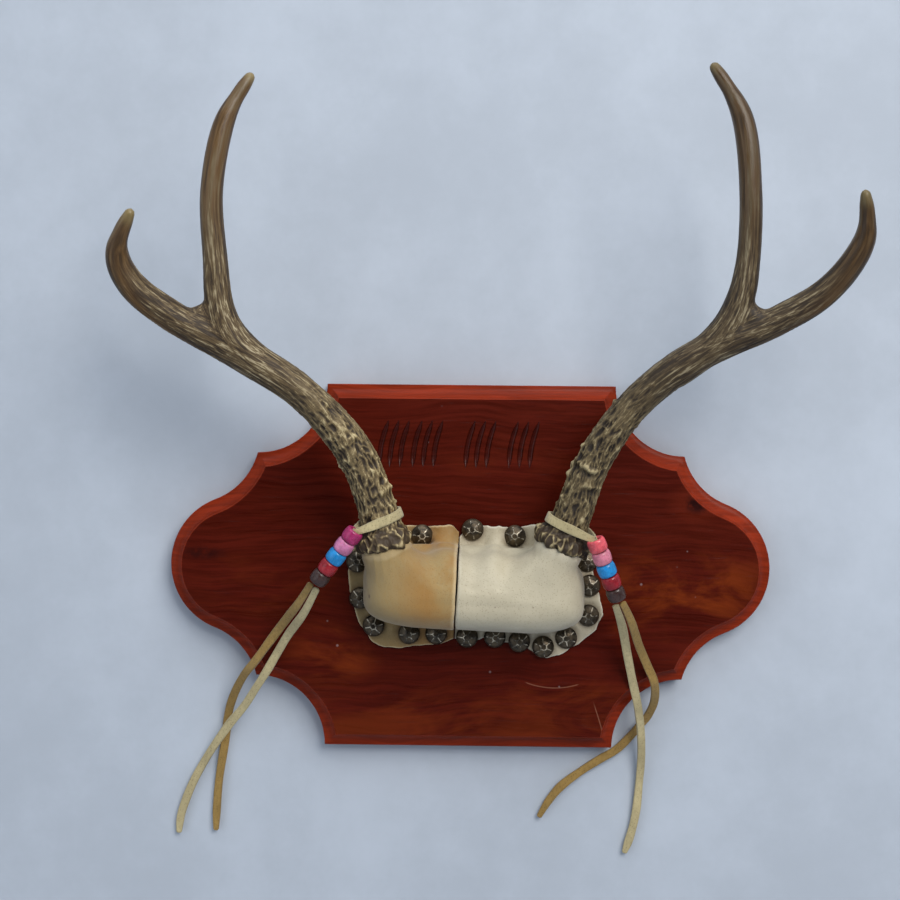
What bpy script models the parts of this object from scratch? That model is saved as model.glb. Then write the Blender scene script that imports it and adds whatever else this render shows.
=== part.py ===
"""Antler plaque: a shaped wooden board with a forked pair of deer antlers and laced beads.

Metres, +Z up. The origin is the centre of the board's back face, which lies at y = 0.
The front of the plaque faces -Y, and +X is to the right for someone who looks at it.
"""
import math

import bmesh
import bpy
from mathutils import Matrix, Vector
from mathutils.geometry import intersect_line_line_2d

MM = 0.001
GAP = 0.0003
CUT_OVER = 0.0010

# Board
BOARD_WIDTH = 0.3048
BOARD_HEIGHT = 0.1842
BOARD_THICKNESS = 0.019
TOP_EDGE_WIDTH = 0.1464
COVE_RADIUS = 0.0353
NECK_RADIUS = 0.0352
LOBE_RADIUS = 0.0352
EDGE_WIDTH = 0.0070
EDGE_SIDE = 0.0080
EDGE_STEP = 0.0012

# Carved strokes in the board's face
STROKE_HEIGHT = 0.0226
STROKE_WIDTH = 0.0026
STROKE_DEPTH = 0.0012
STROKE_SPACING = 0.0052
STROKE_LEAN = 0.0045
STROKES_IN_GROUP = 3
STROKE_DROP = 0.0299
STROKE_GROUPS_X = (-0.0386, -0.0218, 0.0048, 0.0265)

# Keyhole slot in the board's back
KEYHOLE_DROP = 0.0440
KEYHOLE_RADIUS = 0.0050
KEYHOLE_RISE = 0.0120
KEYHOLE_SLOT_WIDTH = 0.0052
KEYHOLE_LIP = 0.0040
KEYHOLE_DEPTH = 0.0105

# Leather covers: a thin margin round a mound, in two pieces that meet at a seam
LEATHER = 0.0016
MOUND_WIDTH = 0.1088
MOUND_HEIGHT = 0.0400
MOUND_RISE = 0.0345
MOUND_CREST_INSET = 0.0155
MOUND_CENTRE_X = 0.0018
MOUND_CENTRE_Z = -0.0086
MOUND_SLANT = -0.035
MOUND_TOP_SLOPE = 0.10
SEAM_X = -0.0061
SEAM_LEAN = 0.040

# Tacks
TACK_DIAMETER = 0.0110
TACK_RISE = 0.0034
TACK_RIM = 0.0007
SHANK_DIAMETER = 0.0018
SHANK_LENGTH = 0.0110

# Antlers
PEDICLE_RADIUS = 0.0098
PEDICLE_LENGTH = 0.0120
COLLAR_WALL = 0.0016
COLLAR_SINK = 0.0060
BURR_RADIUS = 0.0134
BURR_HALF_HEIGHT = 0.0038
RIDGE_SHARE = 0.03
KNOB_SHARE = 0.05
BEAM_STEP = 0.0100
TIP_LENGTH = 0.0015

# Laces and beads
LACE_WIDTH = 0.0040
LACE_THICKNESS = 0.0015
LACE_CLEARANCE = 0.0005
TAIL_RADIUS = 0.0015
BEAD_DIAMETER = 0.0091
BEAD_LENGTH = 0.0062
BEAD_HOLE = 0.0042
BEAD_SPACE = 0.0004
STRAND_CLEARANCE = 0.0006
STRAND_RADIUS = BEAD_HOLE / 2 - STRAND_CLEARANCE

# Each antler's line: x, height above the board's face, z and radius in millimetres
ANTLERS = {
    "left": {
        "beam": (
            (-41.7, 28, 16.6, 10.6), (-45.0, 29.5, 31.0, 9.0), (-55.8, 35, 58.7, 8.8),
            (-79.5, 41, 85.8, 8.0), (-108.0, 49, 104.5, 8.4), (-139.5, 57, 121.6, 7.2),
            (-156.0, 65, 135.0, 6.5), (-161.2, 72, 150.0, 5.0), (-152.8, 80, 167.4, 1.0),
        ),
        "tine": (
            (-100.0, 47, 99.5, 6.0), (-111.0, 51, 110.5, 8.4), (-117.3, 54.5, 125.0, 7.0),
            (-119.0, 58, 147.0, 5.7), (-120.2, 62, 177.9, 5.2), (-114.4, 63, 209.5, 4.7),
            (-102.0, 61, 232.4, 1.2),
        ),
    },
    "right": {
        "beam": (
            (44.7, 28, 17.4, 10.4), (49.8, 29.5, 31.0, 8.8), (58.9, 35, 56.2, 8.1),
            (77.1, 41, 82.9, 7.6), (104.0, 49, 105.0, 7.9), (139.0, 56, 121.2, 6.9),
            (161.5, 64, 135.5, 6.2), (175.2, 73, 157.0, 5.0), (173.5, 80, 178.7, 1.0),
        ),
        "tine": (
            (97.0, 47, 99.5, 5.6), (112.0, 51, 111.0, 7.8), (122.0, 54.5, 127.0, 7.0),
            (126.2, 58, 149.0, 5.5), (126.2, 62, 180.0, 5.2), (121.7, 63, 213.6, 4.8),
            (107.9, 61, 238.5, 1.3),
        ),
    },
}

# Leather margins round the mound, as shares of its half width and half height, clockwise
TAN_MARGIN = (
    (0.00, 1.48), (-0.20, 1.52), (-0.40, 1.48), (-0.60, 1.48), (-0.84, 1.33), (-1.06, 1.03),
    (-1.14, 0.53), (-1.14, -0.07), (-1.08, -0.72), (-1.00, -1.17), (-0.88, -1.51), (-0.69, -1.58),
    (-0.51, -1.52), (-0.29, -1.44), (0.00, -1.43),
)
CREAM_MARGIN = (
    (-0.29, -1.28), (-0.01, -1.38), (0.13, -1.31), (0.26, -1.41), (0.41, -1.45), (0.52, -1.57),
    (0.63, -1.79), (0.81, -1.70), (0.97, -1.42), (1.12, -1.10), (1.19, -0.65), (1.16, -0.17),
    (1.11, 0.33), (1.07, 0.87), (0.94, 1.23), (0.74, 1.46), (0.57, 1.55), (0.38, 1.47),
    (0.07, 1.55), (-0.29, 1.48),
)

# Tack heads in the same shares, clockwise from the top left
TACK_PLACES = (
    (-0.475, 1.25), (-0.010, 1.41), (0.380, 1.26), (1.048, 0.65), (1.072, 0.04), (1.062, -0.71),
    (0.862, -1.28), (0.650, -1.515), (0.430, -1.385), (0.205, -1.28), (-0.052, -1.285),
    (-0.336, -1.21), (-0.588, -1.215), (-0.915, -1.03), (-1.041, -0.34), (-1.071, 0.575),
)

# How high up the beam each lace is tied, in metres, and how far its band leans, in degrees
LACE_TIES = {"left": (0.0098, 21.0), "right": (0.0073, -23.0)}
STRAND_TURN = 40.0

# First and last bead of each string: x, height above the board's face and z in millimetres
BEAD_STRINGS = {
    "left": ((-56.3, 39, 19.0), (-71.9, 34, -1.8)),
    "right": ((60.3, 39.6, 15.9), (69.9, 34, -7.6)),
}

# Free lace ends: x, depth from the wall and z in millimetres, as they lie
TAIL_ROUTES = {
    "tail_left_front": (
        (-73.5, 51.6, -6.9), (-81.0, 41, -20.8), (-89.4, 31, -32.4), (-95.7, 24.8, -42.8),
        (-101.6, 22, -53), (-107.6, 18, -62.4), (-113.8, 13, -72.0), (-121.8, 8.8, -82),
        (-129.3, 5, -92.6), (-135.8, 2.6, -103), (-141.2, 2, -113), (-145.0, 2, -122),
        (-148.0, 2, -131.6), (-149.0, 2, -140.7),
    ),
    "tail_left_back": (
        (-76.2, 51.6, -4.8), (-83.6, 42, -16.0), (-91.6, 32, -26.4), (-99.2, 25, -36.6),
        (-107.2, 20.8, -47.6), (-113.8, 14.5, -56.0), (-119.2, 8.2, -65.5), (-122.8, 4.2, -75),
        (-124.4, 2.2, -84), (-125.4, 2, -93), (-127.2, 2, -104.3), (-128.6, 2, -115.2),
        (-129.4, 2, -126.7), (-129.8, 2, -139.2),
    ),
    "tail_right_front": (
        (70.0, 51.2, -13.5), (74.4, 41, -24.8), (78.4, 29.5, -40.6), (82.0, 22, -55.0),
        (85.4, 17.2, -68.5), (88.0, 10, -83.0), (89.0, 5.4, -97.9), (88.4, 2.6, -111.7),
        (87.1, 2, -126.4), (84.7, 2, -137.9), (81.2, 2, -148.3),
    ),
    "tail_right_back": (
        (73.3, 51.2, -12.2), (78.8, 42, -22.9), (83.8, 32, -35.8), (88.9, 25, -46.8),
        (93.2, 20.8, -56.6), (94.4, 12.5, -67.0), (92.2, 5.5, -76), (88.5, 2.6, -81.6),
        (83.8, 2, -87.4), (76.6, 2, -94.6), (68.0, 2, -99.8), (58.5, 2, -106), (49.1, 2, -113.2),
        (42.7, 2, -120.6), (36.9, 2, -130.2),
    ),
}

COLOURS = {
    "mahogany": ((0.070, 0.010, 0.006, 1.0), 0.30, 0.0),
    "antler": ((0.230, 0.150, 0.080, 1.0), 0.55, 0.0),
    "tan_suede": ((0.560, 0.330, 0.110, 1.0), 0.80, 0.0),
    "cream_leather": ((0.620, 0.560, 0.440, 1.0), 0.55, 0.0),
    "dark_bronze": ((0.060, 0.050, 0.040, 1.0), 0.35, 0.9),
    "lace_pale": ((0.560, 0.480, 0.270, 1.0), 0.75, 0.0),
    "lace_gold": ((0.380, 0.230, 0.060, 1.0), 0.75, 0.0),
    "bead_magenta": ((0.370, 0.020, 0.120, 1.0), 0.25, 0.0),
    "bead_pink": ((0.560, 0.180, 0.340, 1.0), 0.25, 0.0),
    "bead_blue": ((0.010, 0.230, 0.560, 1.0), 0.25, 0.0),
    "bead_red": ((0.280, 0.008, 0.016, 1.0), 0.25, 0.0),
    "bead_brown": ((0.070, 0.030, 0.025, 1.0), 0.30, 0.0),
    "bead_coral": ((0.650, 0.090, 0.110, 1.0), 0.25, 0.0),
    "bead_rose": ((0.600, 0.190, 0.260, 1.0), 0.25, 0.0),
}
BEAD_COLOURS = {
    "left": ("bead_magenta", "bead_pink", "bead_blue", "bead_red", "bead_brown"),
    "right": ("bead_coral", "bead_rose", "bead_blue", "bead_red", "bead_brown"),
}


def from_wall(x, depth, z):
    """A point given in millimetres, with its depth measured out from the wall."""
    return Vector((x * MM, -depth * MM, z * MM))


def above_face(x, height, z):
    """A point given in millimetres, with its height measured out from the board's face."""
    return Vector((x * MM, -BOARD_THICKNESS - height * MM, z * MM))


def get_material(name):
    """The Principled material of one finish, made on its first use."""
    material = bpy.data.materials.get(name)
    if material is None:
        colour, roughness, metallic = COLOURS[name]
        material = bpy.data.materials.new(name)
        material.use_nodes = True
        shader = material.node_tree.nodes["Principled BSDF"]
        shader.inputs["Base Color"].default_value = colour
        shader.inputs["Roughness"].default_value = roughness
        shader.inputs["Metallic"].default_value = metallic
    return material


def add_object(name, mesh, finish):
    """An object at the origin that shows a mesh in one finish."""
    thing = bpy.data.objects.new(name, mesh)
    bpy.context.scene.collection.objects.link(thing)
    if finish is not None:
        mesh.materials.append(get_material(finish))
    return thing


def mesh_from_rings(name, rings, closed=False):
    """A closed mesh skinned over rings of equal length, capped at both ends unless it loops."""
    bm = bmesh.new()
    rows = [[bm.verts.new(point) for point in ring] for ring in rings]
    pairs = list(zip(rows, rows[1:]))
    if closed:
        pairs.append((rows[-1], rows[0]))
    for low, high in pairs:
        for i in range(len(low)):
            j = (i + 1) % len(low)
            bm.faces.new((low[i], low[j], high[j], high[i]))
    if not closed:
        bm.faces.new(rows[0][::-1])
        bm.faces.new(rows[-1])
    bmesh.ops.recalc_face_normals(bm, faces=bm.faces)
    mesh = bpy.data.meshes.new(name)
    bm.to_mesh(mesh)
    bm.free()
    mesh.shade_smooth()
    mesh.set_sharp_from_angle(angle=math.radians(40))
    return mesh


def as_guide(thing):
    """Marks an object as a cutter or a half of a union, which isn't a piece."""
    thing.hide_render = True
    thing.display_type = "WIRE"
    return thing


def combine(target, other, operation):
    """Adds an exact Boolean of a guide object to a target."""
    modifier = target.modifiers.new(operation.lower(), "BOOLEAN")
    modifier.object = other
    modifier.operation = operation
    modifier.solver = "EXACT"


def curve_through(points, steps):
    """Catmull-Rom curve through points of any length, with steps samples on each span."""
    samples = []
    last = len(points) - 1
    for i in range(last):
        before, start = points[max(i - 1, 0)], points[i]
        end, after = points[i + 1], points[min(i + 2, last)]
        for k in range(steps):
            t = k / steps
            samples.append(tuple(
                0.5 * (2 * b + (c - a) * t + (2 * a - 5 * b + 4 * c - d) * t * t
                       + (3 * b - a - 3 * c + d) * t ** 3)
                for a, b, c, d in zip(before, start, end, after)))
    samples.append(tuple(points[last]))
    return samples


class Route:
    """A smooth antler line whose place and radius can be read at any length along it."""

    def __init__(self, points, steps=16):
        samples = curve_through(points, steps)
        self.places = [above_face(*sample[:3]) for sample in samples]
        self.radii = [sample[3] * MM for sample in samples]
        self.lengths = [0.0]
        for a, b in zip(self.places, self.places[1:]):
            self.lengths.append(self.lengths[-1] + (b - a).length)
        self.total = self.lengths[-1]

    def at(self, length):
        """Place, radius and direction at a length, carried on straight before the start."""
        i = 0
        while i < len(self.lengths) - 2 and self.lengths[i + 1] < length:
            i += 1
        span = self.lengths[i + 1] - self.lengths[i]
        t = (length - self.lengths[i]) / span
        place = self.places[i].lerp(self.places[i + 1], t)
        radius = self.radii[i] + (self.radii[i + 1] - self.radii[i]) * max(t, 0.0)
        return place, radius, (self.places[i + 1] - self.places[i]).normalized()


def tube_rings(stations, sides, shape=None):
    """Rings round a line of (place, radius, direction), turned as little as possible."""
    side = stations[0][2].cross(Vector((0, 1, 0))).normalized()
    rings = []
    for place, radius, direction in stations:
        side = (side - direction * side.dot(direction)).normalized()
        across = direction.cross(side)
        ring = []
        for k in range(sides):
            angle = math.tau * k / sides
            reach = radius * (shape(k, len(rings)) if shape else 1.0)
            ring.append(place + (side * math.cos(angle) + across * math.sin(angle)) * reach)
        rings.append(ring)
    return rings


def arc(centre, radius, start, end, steps):
    """Points on an arc, both ends included."""
    angles = [start + (end - start) * k / steps for k in range(steps + 1)]
    return [Vector((centre.x + radius * math.cos(a), centre.y + radius * math.sin(a))) for a in angles]


def circle_crossing(first, first_radius, second, second_radius, side):
    """The crossing of two circles on one side of the line between their centres."""
    line = second - first
    along = (line.length_squared + first_radius ** 2 - second_radius ** 2) / (2 * line.length)
    off = math.sqrt(first_radius ** 2 - along ** 2)
    unit = line.normalized()
    return first + unit * along + Vector((-unit.y, unit.x)) * off * side


def angle_from(centre, point):
    """The direction of a point from a centre, as an angle."""
    return math.atan2(point.y - centre.y, point.x - centre.x)


def board_outline(inset):
    """The plaque's outline, set in from its edge: a lobe, a neck and a cove in each quarter."""
    half_height = BOARD_HEIGHT / 2
    lobe = Vector((BOARD_WIDTH / 2 - LOBE_RADIUS, 0))
    cove = Vector((TOP_EDGE_WIDTH / 2 + COVE_RADIUS, half_height))
    ear = Vector((cove.x, half_height - COVE_RADIUS))
    neck = circle_crossing(lobe, LOBE_RADIUS + NECK_RADIUS, ear, NECK_RADIUS, -1)
    lean = angle_from(lobe, neck)
    tip = circle_crossing(neck, NECK_RADIUS + inset, cove, COVE_RADIUS + inset, 1)
    drop = math.asin(inset / (COVE_RADIUS + inset))
    quarter = arc(lobe, LOBE_RADIUS - inset, 0, lean, 5)
    quarter += arc(neck, NECK_RADIUS + inset, lean - math.pi, angle_from(neck, tip), 4)[1:]
    quarter += arc(cove, COVE_RADIUS + inset, angle_from(cove, tip), drop - math.pi, 6)[1:]
    right = [Vector((p.x, -p.y)) for p in quarter[:0:-1]] + quarter
    return right + [Vector((-p.x, p.y)) for p in reversed(right)]


def edge_profile(steps=3):
    """Inset and height of the routed edge: a side, a cove, a round and a small step."""
    half = EDGE_WIDTH / 2
    rise = (BOARD_THICKNESS - EDGE_SIDE - EDGE_STEP) / 2
    turns = [math.pi / 2 * k / steps for k in range(steps + 1)]
    cove = [(half * math.sin(a), EDGE_SIDE + rise * (1 - math.cos(a))) for a in turns]
    round_over = [(EDGE_WIDTH - half * math.cos(a), EDGE_SIDE + rise * (1 + math.sin(a))) for a in turns]
    return [(0, 0)] + cove + round_over[1:] + [(EDGE_WIDTH, BOARD_THICKNESS)]


def carved_strokes():
    """One guide that holds every stroke of the carved row, each a tapered bent gouge."""
    bm = bmesh.new()
    sides = 6
    stations = 4
    sink = STROKE_WIDTH / 2 - STROKE_DEPTH
    row_z = BOARD_HEIGHT / 2 - STROKE_DROP
    for group_x in STROKE_GROUPS_X:
        for k in range(STROKES_IN_GROUP):
            foot = group_x + (k - (STROKES_IN_GROUP - 1) / 2) * STROKE_SPACING
            line = []
            for s in range(stations + 1):
                t = s / stations
                bow = math.sin(math.pi * t)
                place = Vector((
                    foot + STROKE_LEAN * (t - 0.5) - STROKE_LEAN * 0.25 * bow,
                    -BOARD_THICKNESS - sink,
                    row_z + STROKE_HEIGHT * (t - 0.5)))
                line.append((place, STROKE_WIDTH / 2 * (0.55 + 0.45 * bow), Vector((0, 0, 1))))
            rings = [[bm.verts.new(p) for p in ring] for ring in tube_rings(line, sides)]
            for low, high in zip(rings, rings[1:]):
                for i in range(sides):
                    j = (i + 1) % sides
                    bm.faces.new((low[i], low[j], high[j], high[i]))
            bm.faces.new(rings[0][::-1])
            bm.faces.new(rings[-1])
    bmesh.ops.recalc_face_normals(bm, faces=bm.faces)
    mesh = bpy.data.meshes.new("carved_strokes")
    bm.to_mesh(mesh)
    bm.free()
    return as_guide(add_object("carved_strokes", mesh, None))


def stadium(width, low, high, steps=6):
    """Outline in x and z of a slot with round ends."""
    half = width / 2
    top = arc(Vector((0, high)), half, 0, math.pi, steps)
    bottom = arc(Vector((0, low)), half, math.pi, math.tau, steps)
    return top + bottom


def slot_guide(name, outline, front, back):
    """A guide with an outline in x and z, from one y to another."""
    rings = [[Vector((p.x, y, p.y)) for p in outline] for y in (back, front)]
    return as_guide(add_object(name, mesh_from_rings(name, rings), None))


def make_board():
    """The plaque with its carved row, its keyhole slot and a hole for each tack."""
    rings = [[Vector((p.x, -height, p.y)) for p in board_outline(inset)] for inset, height in edge_profile()]
    board = add_object("board", mesh_from_rings("board", rings), "mahogany")
    combine(board, carved_strokes(), "DIFFERENCE")
    entry = BOARD_HEIGHT / 2 - KEYHOLE_DROP
    top = entry + KEYHOLE_RISE
    mouth = stadium(KEYHOLE_RADIUS * 2, entry, entry)
    neck = stadium(KEYHOLE_SLOT_WIDTH, entry, top)
    chamber = stadium(KEYHOLE_RADIUS * 2, entry, top)
    inner = -KEYHOLE_DEPTH + CUT_OVER
    combine(board, slot_guide("keyhole_mouth", mouth, inner, CUT_OVER), "DIFFERENCE")
    combine(board, slot_guide("keyhole_neck", neck, inner, CUT_OVER), "DIFFERENCE")
    combine(board, slot_guide("keyhole_chamber", chamber, -KEYHOLE_DEPTH, -KEYHOLE_LIP), "DIFFERENCE")
    return board


def beam_stations(route):
    """Stations of the main beam: the pedicle, the burr and then even steps to the tip."""
    burr = BURR_HALF_HEIGHT
    lengths = [-PEDICLE_LENGTH, -burr - GAP, -burr * 0.9, 0.0, burr * 0.8, burr * 1.1, burr * 2.2]
    count = round((route.total - lengths[-1]) / BEAM_STEP)
    start = lengths[-1]
    lengths += [start + (route.total - start) * (k + 1) / count for k in range(count - 1)]
    lengths += [route.total - TIP_LENGTH, route.total]
    stations = []
    for length in lengths:
        place, radius, direction = route.at(length)
        if length < -burr:
            radius = PEDICLE_RADIUS
        elif length <= burr:
            radius = BURR_RADIUS * (1 - 0.09 * abs(length) / burr)
        stations.append((place, radius, direction))
    return stations


def make_antler(name, beam, tine):
    """A forked antler: a ridged beam with its burr, and a second tine joined on at the fork."""
    beam_route = Route(beam)
    stations = beam_stations(beam_route)
    sides = 12

    def ridges(k, row):
        fade = 1.0 - row / len(stations)
        share = KNOB_SHARE if 2 <= row <= 4 else RIDGE_SHARE * fade if row > 4 else 0.0
        return 1.0 + share * (1 if k % 2 else -1)

    body = add_object(name, mesh_from_rings(name, tube_rings(stations, sides, ridges)), "antler")
    tine_route = Route(tine)
    count = round(tine_route.total / BEAM_STEP)
    tine_line = [tine_route.at(tine_route.total * k / count) for k in range(count + 1)]
    tine_mesh = mesh_from_rings(name + "_tine", tube_rings(tine_line, 10))
    guide = as_guide(add_object(name + "_tine", tine_mesh, "antler"))
    combine(body, guide, "UNION")
    return beam_route


def pedicle_line(beam, radius, low, high):
    """Stations of a straight stub round an antler's pedicle."""
    return [(beam.at(length)[0], radius, beam.at(length)[2]) for length in (low, high)]


def mound_ring(inset, height, count):
    """A rounded oblong ring of the covered mound, set in from its widest line."""
    half_x = MOUND_WIDTH / 2 - inset
    half_z = MOUND_HEIGHT / 2 - inset
    ring = []
    for k in range(count):
        angle = math.tau * k / count
        c, s = math.cos(angle), math.sin(angle)
        x = half_x * math.copysign(abs(c) ** 0.5, c)
        z = half_z * math.copysign(abs(s) ** 0.5, s)
        lift = height * (1 - MOUND_TOP_SLOPE * z / (MOUND_HEIGHT / 2))
        ring.append(Vector((
            MOUND_CENTRE_X + x,
            -(BOARD_THICKNESS + GAP + LEATHER + lift),
            MOUND_CENTRE_Z + z + MOUND_SLANT * x)))
    return ring


def beside_mound(share_x, share_z):
    """A place in x and z, given in half widths and half heights of the mound from its middle."""
    return Vector((
        MOUND_CENTRE_X + share_x * MOUND_WIDTH / 2,
        MOUND_CENTRE_Z + share_z * MOUND_HEIGHT / 2))


def margin_ring(margin, like, y):
    """The leather's margin, read along the same directions as a mound ring."""
    outline = [beside_mound(*share) for share in curve_through(margin + margin[:1], 4)[:-1]]
    centre = beside_mound(0, 0)
    ring = []
    for point in like:
        far = centre + (Vector((point.x, point.z)) - centre).normalized() * MOUND_WIDTH * 2
        hits = []
        for a, b in zip(outline, outline[1:] + outline[:1]):
            hit = intersect_line_line_2d(centre, far, a, b)
            if hit is not None:
                hits.append((hit - centre).length)
        reach = (far - centre).normalized() * max(hits)
        ring.append(Vector((centre.x + reach.x, y, centre.y + reach.y)))
    return ring


def mound_profile():
    """Inset and height of the mound from its foot, under its widest line, to its crest."""
    shape = ((0.26, 0.0), (0.12, 0.15), (0.0, 0.40), (0.04, 0.64), (0.18, 0.80), (0.40, 0.91),
             (0.70, 0.975), (1.0, 1.0))
    return [(MOUND_CREST_INSET * inset, MOUND_RISE * share) for inset, share in shape]


def make_cover(name, margin, finish, keep, beam):
    """One leather cover: its thin margin, its half of the mound and the collar of a pedicle."""
    count = 40
    mound = [mound_ring(inset, height, count) for inset, height in mound_profile()]
    back = -BOARD_THICKNESS - GAP
    rings = [margin_ring(margin, mound[0], back), margin_ring(margin, mound[0], back - LEATHER)] + mound
    mesh = mesh_from_rings(name, rings)
    bm = bmesh.new()
    bm.from_mesh(mesh)
    seam = Vector((SEAM_X - keep * GAP / 2, 0, 0))
    normal = Vector((1, 0, -SEAM_LEAN)).normalized() * keep
    everything = bm.verts[:] + bm.edges[:] + bm.faces[:]
    cut = bmesh.ops.bisect_plane(bm, geom=everything, plane_co=seam, plane_no=normal, clear_outer=True)
    rim = [edge for edge in cut["geom_cut"] if isinstance(edge, bmesh.types.BMEdge)]
    bmesh.ops.contextual_create(bm, geom=rim)
    bmesh.ops.recalc_face_normals(bm, faces=bm.faces)
    bm.to_mesh(mesh)
    bm.free()
    cover = add_object(name, mesh, finish)
    wall = PEDICLE_RADIUS + GAP + COLLAR_WALL
    collar_top = -BURR_HALF_HEIGHT - 2 * GAP
    collar_line = pedicle_line(beam, wall, -PEDICLE_LENGTH - COLLAR_SINK, collar_top)
    collar = mesh_from_rings(name + "_collar", tube_rings(collar_line, 20))
    combine(cover, as_guide(add_object(name + "_collar", collar, finish)), "UNION")
    seat_line = pedicle_line(beam, PEDICLE_RADIUS + GAP, -PEDICLE_LENGTH - GAP, CUT_OVER)
    seat = mesh_from_rings(name + "_seat", tube_rings(seat_line, 14))
    combine(cover, as_guide(add_object(name + "_seat", seat, None)), "DIFFERENCE")
    return cover


def tack_mesh():
    """A nail with a faceted dome head, its underside at y = 0 and its head towards -Y."""
    radius = TACK_DIAMETER / 2
    shank = SHANK_DIAMETER / 2
    profile = ((shank * 0.5, -SHANK_LENGTH), (shank, 0.0), (radius, 0.0), (radius, TACK_RIM),
               (radius * 0.72, TACK_RISE * 0.68), (radius * 0.34, TACK_RISE))
    sides = 8
    rings = []
    for row, (reach, height) in enumerate(profile):
        turn = 0.5 if row == len(profile) - 2 else 0.0
        angles = [math.tau * (k + turn) / sides for k in range(sides)]
        rings.append([Vector((reach * math.cos(a), -height, reach * math.sin(a))) for a in angles])
    mesh = mesh_from_rings("tack", rings)
    mesh.shade_flat()
    return mesh


def make_tacks(board, covers):
    """Every tack, with a hole for its shank through the leather and into the board."""
    head_y = -(BOARD_THICKNESS + LEATHER + 2 * GAP)
    drills = bmesh.new()
    turn = Matrix.Rotation(math.pi / 2, 4, "X")
    reach = SHANK_DIAMETER / 2 + 1.5 * GAP
    deep = SHANK_LENGTH + GAP + CUT_OVER
    for number, share in enumerate(TACK_PLACES, start=1):
        middle = beside_mound(*share)
        tack = add_object(f"tack_{number:02d}", tack_mesh(), "dark_bronze")
        tack.location = (middle.x, head_y, middle.y)
        place = Matrix.Translation((middle.x, head_y - CUT_OVER + deep / 2, middle.y))
        bmesh.ops.create_cone(
            drills, cap_ends=True, segments=6, radius1=reach, radius2=reach, depth=deep,
            matrix=place @ turn)
    drill_mesh = bpy.data.meshes.new("tack_holes")
    drills.to_mesh(drill_mesh)
    drills.free()
    holes = as_guide(add_object("tack_holes", drill_mesh, None))
    for target in [board] + covers:
        combine(target, holes, "DIFFERENCE")


def bead_mesh():
    """A barrel bead with a hole, its axis along Z."""
    outer = BEAD_DIAMETER / 2
    hole = BEAD_HOLE / 2
    half = BEAD_LENGTH / 2
    profile = ((hole, -half * 0.8), (outer * 0.76, -half), (outer, -half * 0.4),
               (outer, half * 0.4), (outer * 0.76, half), (hole, half * 0.8))
    sides = 12
    rings = []
    for reach, height in profile:
        angles = [math.tau * k / sides for k in range(sides)]
        rings.append([Vector((reach * math.cos(a), reach * math.sin(a), height)) for a in angles])
    return mesh_from_rings("bead", rings, closed=True)


def make_lace(side, beam):
    """A lace round one antler, its doubled strand, and the beads that it runs through."""
    rise, lean = LACE_TIES[side]
    centre, _, direction = beam.at(rise)
    thickest = beam.at(rise - LACE_WIDTH)[1]
    axis = Vector((-math.sin(math.radians(lean)), direction.y, math.cos(math.radians(lean)))).normalized()
    viewer = Vector((0, -1, 0))
    front = (viewer - axis * viewer.dot(axis)).normalized()
    outward = math.copysign(1, centre.x) * axis.cross(front)
    segments = 20
    inner = (thickest * (1 + RIDGE_SHARE) + LACE_CLEARANCE) / math.cos(math.pi / segments)
    outer = inner + LACE_THICKNESS
    profile = ((inner, -0.5), (outer, -0.5), (outer, 0.5), (inner, 0.5))
    rings = []
    for k in range(segments):
        angle = math.tau * k / segments
        out = outward * math.cos(angle) + front * math.sin(angle)
        rings.append([centre + out * reach + axis * (LACE_WIDTH * level) for reach, level in profile])
    lace = add_object(f"lace_{side}", mesh_from_rings(f"lace_{side}", rings, closed=True), "lace_pale")

    first, last = (above_face(*point) for point in BEAD_STRINGS[side])
    run = (last - first).normalized()
    pitch = BEAD_LENGTH + BEAD_SPACE
    finishes = BEAD_COLOURS[side]
    turn_out = math.radians(STRAND_TURN)
    root = centre + (outward * math.cos(turn_out) + front * math.sin(turn_out)) * (inner + outer) / 2
    entry = first - run * (BEAD_LENGTH / 2 + 2 * BEAD_SPACE)
    lead = (entry - root).normalized()
    strand_end = first + run * (pitch * (len(finishes) - 1) + BEAD_LENGTH / 2 + 2 * BEAD_SPACE)
    line = [(root, LACE_THICKNESS / 4, lead), (root.lerp(entry, 0.5), STRAND_RADIUS, lead),
            (entry, STRAND_RADIUS, run), (strand_end, STRAND_RADIUS, run)]
    strand_mesh = mesh_from_rings(f"strand_{side}", tube_rings(line, 8))
    combine(lace, as_guide(add_object(f"strand_{side}", strand_mesh, "lace_pale")), "UNION")
    turn = Vector((0, 0, 1)).rotation_difference(run)
    for number, finish in enumerate(finishes, start=1):
        bead = add_object(f"bead_{side}_{number}", bead_mesh(), finish)
        bead.rotation_mode = "QUATERNION"
        bead.rotation_quaternion = turn
        bead.location = first + run * (pitch * (number - 1))


def make_tail(name, route, finish):
    """A free lace end: a round tube along its route."""
    places = [from_wall(*sample) for sample in curve_through(route, 2)]
    curve = bpy.data.curves.new(name, "CURVE")
    curve.dimensions = "3D"
    curve.bevel_depth = TAIL_RADIUS
    curve.bevel_resolution = 2
    curve.use_fill_caps = True
    spline = curve.splines.new("POLY")
    spline.points.add(len(places) - 1)
    for point, place in zip(spline.points, places):
        point.co = (place.x, place.y, place.z, 1.0)
    add_object(name, curve, finish)


def main():
    """Clears the scene and builds every piece."""
    for thing in list(bpy.data.objects):
        bpy.data.objects.remove(thing, do_unlink=True)
    board = make_board()
    beams = {side: make_antler(f"antler_{side}", **lines) for side, lines in ANTLERS.items()}
    covers = [
        make_cover("cover_tan", TAN_MARGIN, "tan_suede", 1, beams["left"]),
        make_cover("cover_cream", CREAM_MARGIN, "cream_leather", -1, beams["right"]),
    ]
    make_tacks(board, covers)
    for side, beam in beams.items():
        make_lace(side, beam)
    for name, route in TAIL_ROUTES.items():
        make_tail(name, route, "lace_pale" if name.endswith("front") else "lace_gold")


main()
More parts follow.
